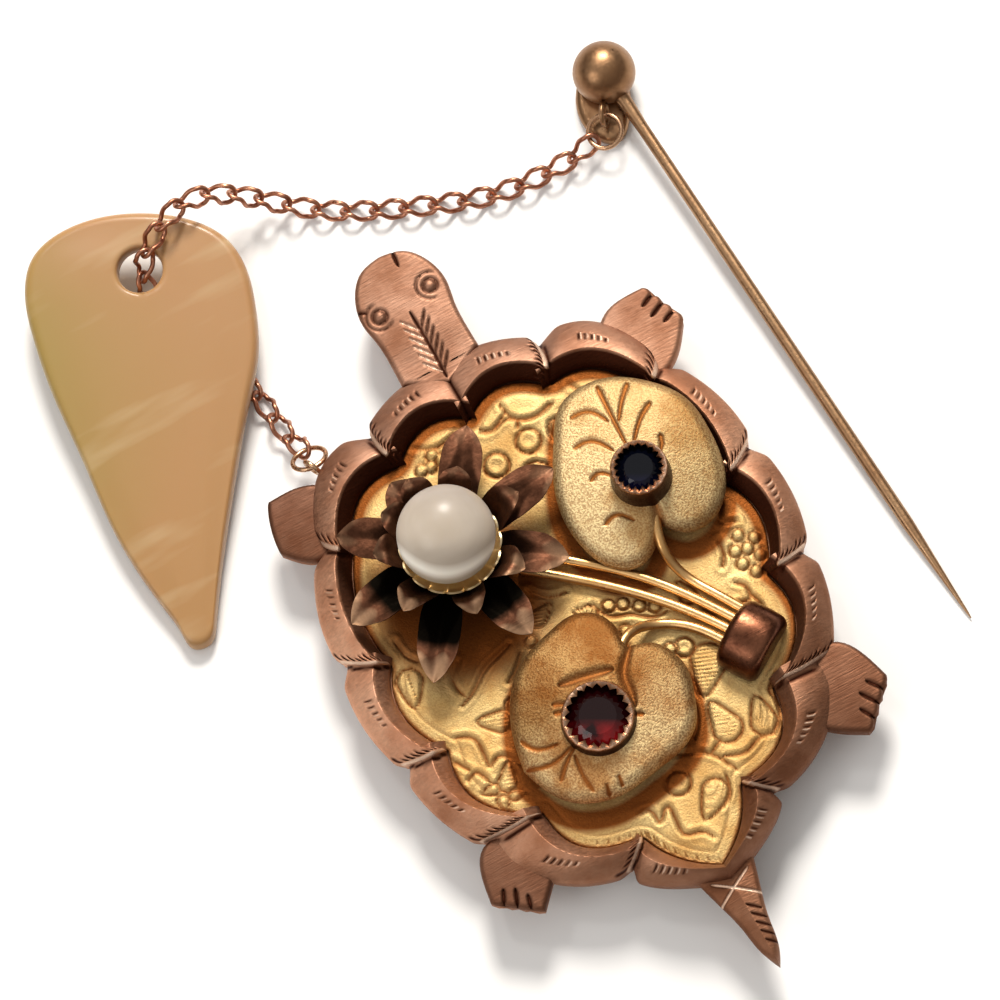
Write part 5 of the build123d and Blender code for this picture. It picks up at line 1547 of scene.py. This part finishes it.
# The tongue: loops that grow from its middle to its outline, over a flat underside.
def makeTongue():
    outline = smoothLine(np.array(stickPin["tongue"]) * stickPin["ballRadius"], 160)
    outline = evenLine(np.vstack([outline, outline[:1]]), 160, True) + stickPin["ball"][:2]
    middle = outline.mean(0)
    share = graded([0.05, 0.8, 0.84, 1], [13, 1, 9])
    distance = np.linalg.norm(outline - middle, axis=1) * (1 - share[:, None])
    height = stickPin["tongueThickness"] - edgeDrop(distance, stickPin["tongueEdge"])
    height = height + stickPin["tongueDome"] * (1 - share[:, None])
    top, low = grown(middle, outline, share), grown(middle, outline, [0.96, 0.5, 0.05])
    makeDisc("pin_tongue", top, height, low, stickPin["tongueUnder"], "pin", "stick_pin")


# The eye: a ring that stands across the jump ring, on the side of it that is nearest to the ball.
def makeEye():
    middle, ways, size = nodeDirections("pin_ring")
    normal = ways[2]
    toBall = np.array(stickPin["ball"]) - middle
    eyeWay = unit(toBall - normal * (toBall @ normal))
    place = middle + eyeWay * chain["ringRadius"]
    makeRing("pin_eye", place, eyeWay, normal, stickPin["eyeRadius"], stickPin["eyeWire"], "pin", "stick_pin")


# The needle: a straight rod whose radius goes in straight lines between those given.
def makeNeedle():
    places, radii = np.transpose(stickPin["needle"])
    along = graded([0, places[2], places[-1]], [59, 29])
    path = np.array(stickPin["needleStart"]) + along[:, None] * np.array(stickPin["needleWay"])
    makeShell("pin_needle", rodRows(path, np.interp(along, places, radii), 24), "pin", "stick_pin")


makeBall("pin_ball", stickPin["ball"], stickPin["ballRadius"], 60, 90, "pin", "stick_pin")
makeTongue()
makeEye()
makeNeedle()
print("pin made")


# Floor, light and camera

studio = {
    "floorSize": 1.2,
    "floorColours": [(0.86, 0.86, 0.86), (0.88, 0.88, 0.88)],
    "target": (-0.870, 8.611, 4.0),
    "distance": 350.0,
    "lean": 8.6,             # the view leans this far from the turtle's axis
    "tilt": 18.0,            # off the vertical
    "roll": 20.46,
    "pixel": 0.06,           # millimetres at the target
    "picture": 1000,         # pixels
    "sensor": 36.0,
    "clip": 0.01,
    # A soft key light from beyond the picture's top, a weaker one from below left, and a small one for glints;
    # distance and size are in metres
    "lights": {
        "key": {"azimuth": 62.0, "elevation": 44.0, "distance": 0.40, "size": 0.13, "power": 2.0,
                "colour": (1.0, 0.95, 0.88)},
        "fill": {"azimuth": 190.0, "elevation": 42.0, "distance": 0.45, "size": 0.26, "power": 0.50,
                 "colour": (1.0, 0.97, 0.94)},
        "glint": {"azimuth": 100.0, "elevation": 62.0, "distance": 0.40, "size": 0.05, "power": 0.10,
                  "colour": (1.0, 0.98, 0.95)},
    },
    "skyColours": [(0.16, 0.12, 0.10), (1.0, 0.97, 0.93)],
    "skyHeights": (0.15, 0.95),         # from straight ahead at 0 to straight up at 1
    "skyStrength": 0.68,
}


# A thing set in the scene, with its three directions and its place as the columns of its matrix.
def setUp(thing, *columns):
    thing.matrix_world = Matrix([*np.column_stack(columns).tolist(), [0, 0, 0, 1]])
    scene.collection.objects.link(thing)


# The floor: one square with a faint cloud in its colour.
def makeFloor():
    mesh = bpy.data.meshes.new("floor")
    half = studio["floorSize"] / 2
    mesh.from_pydata([(-half, -half, 0), (half, -half, 0), (half, half, 0), (-half, half, 0)], [], [(0, 1, 2, 3)])
    floor = bpy.data.objects.new("floor", mesh)
    scene.collection.objects.link(floor)
    material, tree, shader = startMaterial("floor", Roughness=0.9, Specular_IOR_Level=0.1)
    cloud = noise(tree, objectPlace(tree), 8.0, 2.0)
    dress(tree, shader, blend(tree, ramp(tree, cloud, 0.3, 0.7), *studio["floorColours"]))
    mesh.materials.append(material)


# The camera: its view is tilted off the vertical, then rolled about itself, and its lens shows the given
# length at the target in each pixel.
def makeCamera():
    lean, tilt, roll = (math.radians(studio[key]) for key in ("lean", "tilt", "roll"))
    flat = np.array([math.sin(lean), math.cos(lean), 0])
    right = np.array([math.cos(lean), -math.sin(lean), 0])
    view = flat * math.sin(tilt) - upward * math.cos(tilt)
    over = flat * math.cos(tilt) + upward * math.sin(tilt)
    imageRight = math.cos(roll) * right - math.sin(roll) * over
    imageUp = math.sin(roll) * right + math.cos(roll) * over
    target = (np.array(studio["target"]) + turtleMiddle) * mm
    camera = bpy.data.objects.new("camera", bpy.data.cameras.new("camera"))
    camera.data.sensor_width = studio["sensor"]
    camera.data.lens = studio["distance"] / studio["pixel"] * studio["sensor"] / studio["picture"]
    camera.data.clip_start = studio["clip"]
    setUp(camera, imageRight, imageUp, -view, target - view * studio["distance"] * mm)
    scene.camera = camera


# A round lamp on a ball about the origin, which it looks at.
def makeLight(name, spec):
    light = bpy.data.lights.new(name, "AREA")
    light.shape = "DISK"
    light.size = spec["size"]
    light.energy = spec["power"]
    light.color = spec["colour"]
    level, rise = directions(spec["azimuth"])[0], math.radians(spec["elevation"])
    back = np.append(level * math.cos(rise), math.sin(rise))
    side = unit(np.cross(upward, back))
    setUp(bpy.data.objects.new(name, light), side, np.cross(back, side), back, back * spec["distance"])


# The sky: dark and warm low down, pale higher up.
def makeSky():
    scene.world = bpy.data.worlds.new("studio")
    scene.world.use_nodes = True
    tree = scene.world.node_tree
    sky = addNode(tree, "ShaderNodeTexCoord").outputs["Generated"]
    height = addNode(tree, "ShaderNodeSeparateXYZ", None, {0: sky}).outputs["Z"]
    background = tree.nodes["Background"]
    colour = blend(tree, ramp(tree, height, *studio["skyHeights"]), *studio["skyColours"])
    tree.links.new(colour, background.inputs["Color"])
    background.inputs["Strength"].default_value = studio["skyStrength"]


makeFloor()
makeCamera()
for name, spec in studio["lights"].items():
    makeLight(name, spec)
makeSky()
scene.view_settings.view_transform = "Standard"
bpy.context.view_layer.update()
added = [piece.data for piece in bpy.data.objects if piece.type == "MESH" and "marks_and_painted_light" in piece.data.attributes]
sizes = [len(mesh.loops) - 2 * len(mesh.polygons) for mesh in added]
print("scene made:", len(added), "pieces,", sum(sizes), "triangles, at most", max(sizes), "in one")
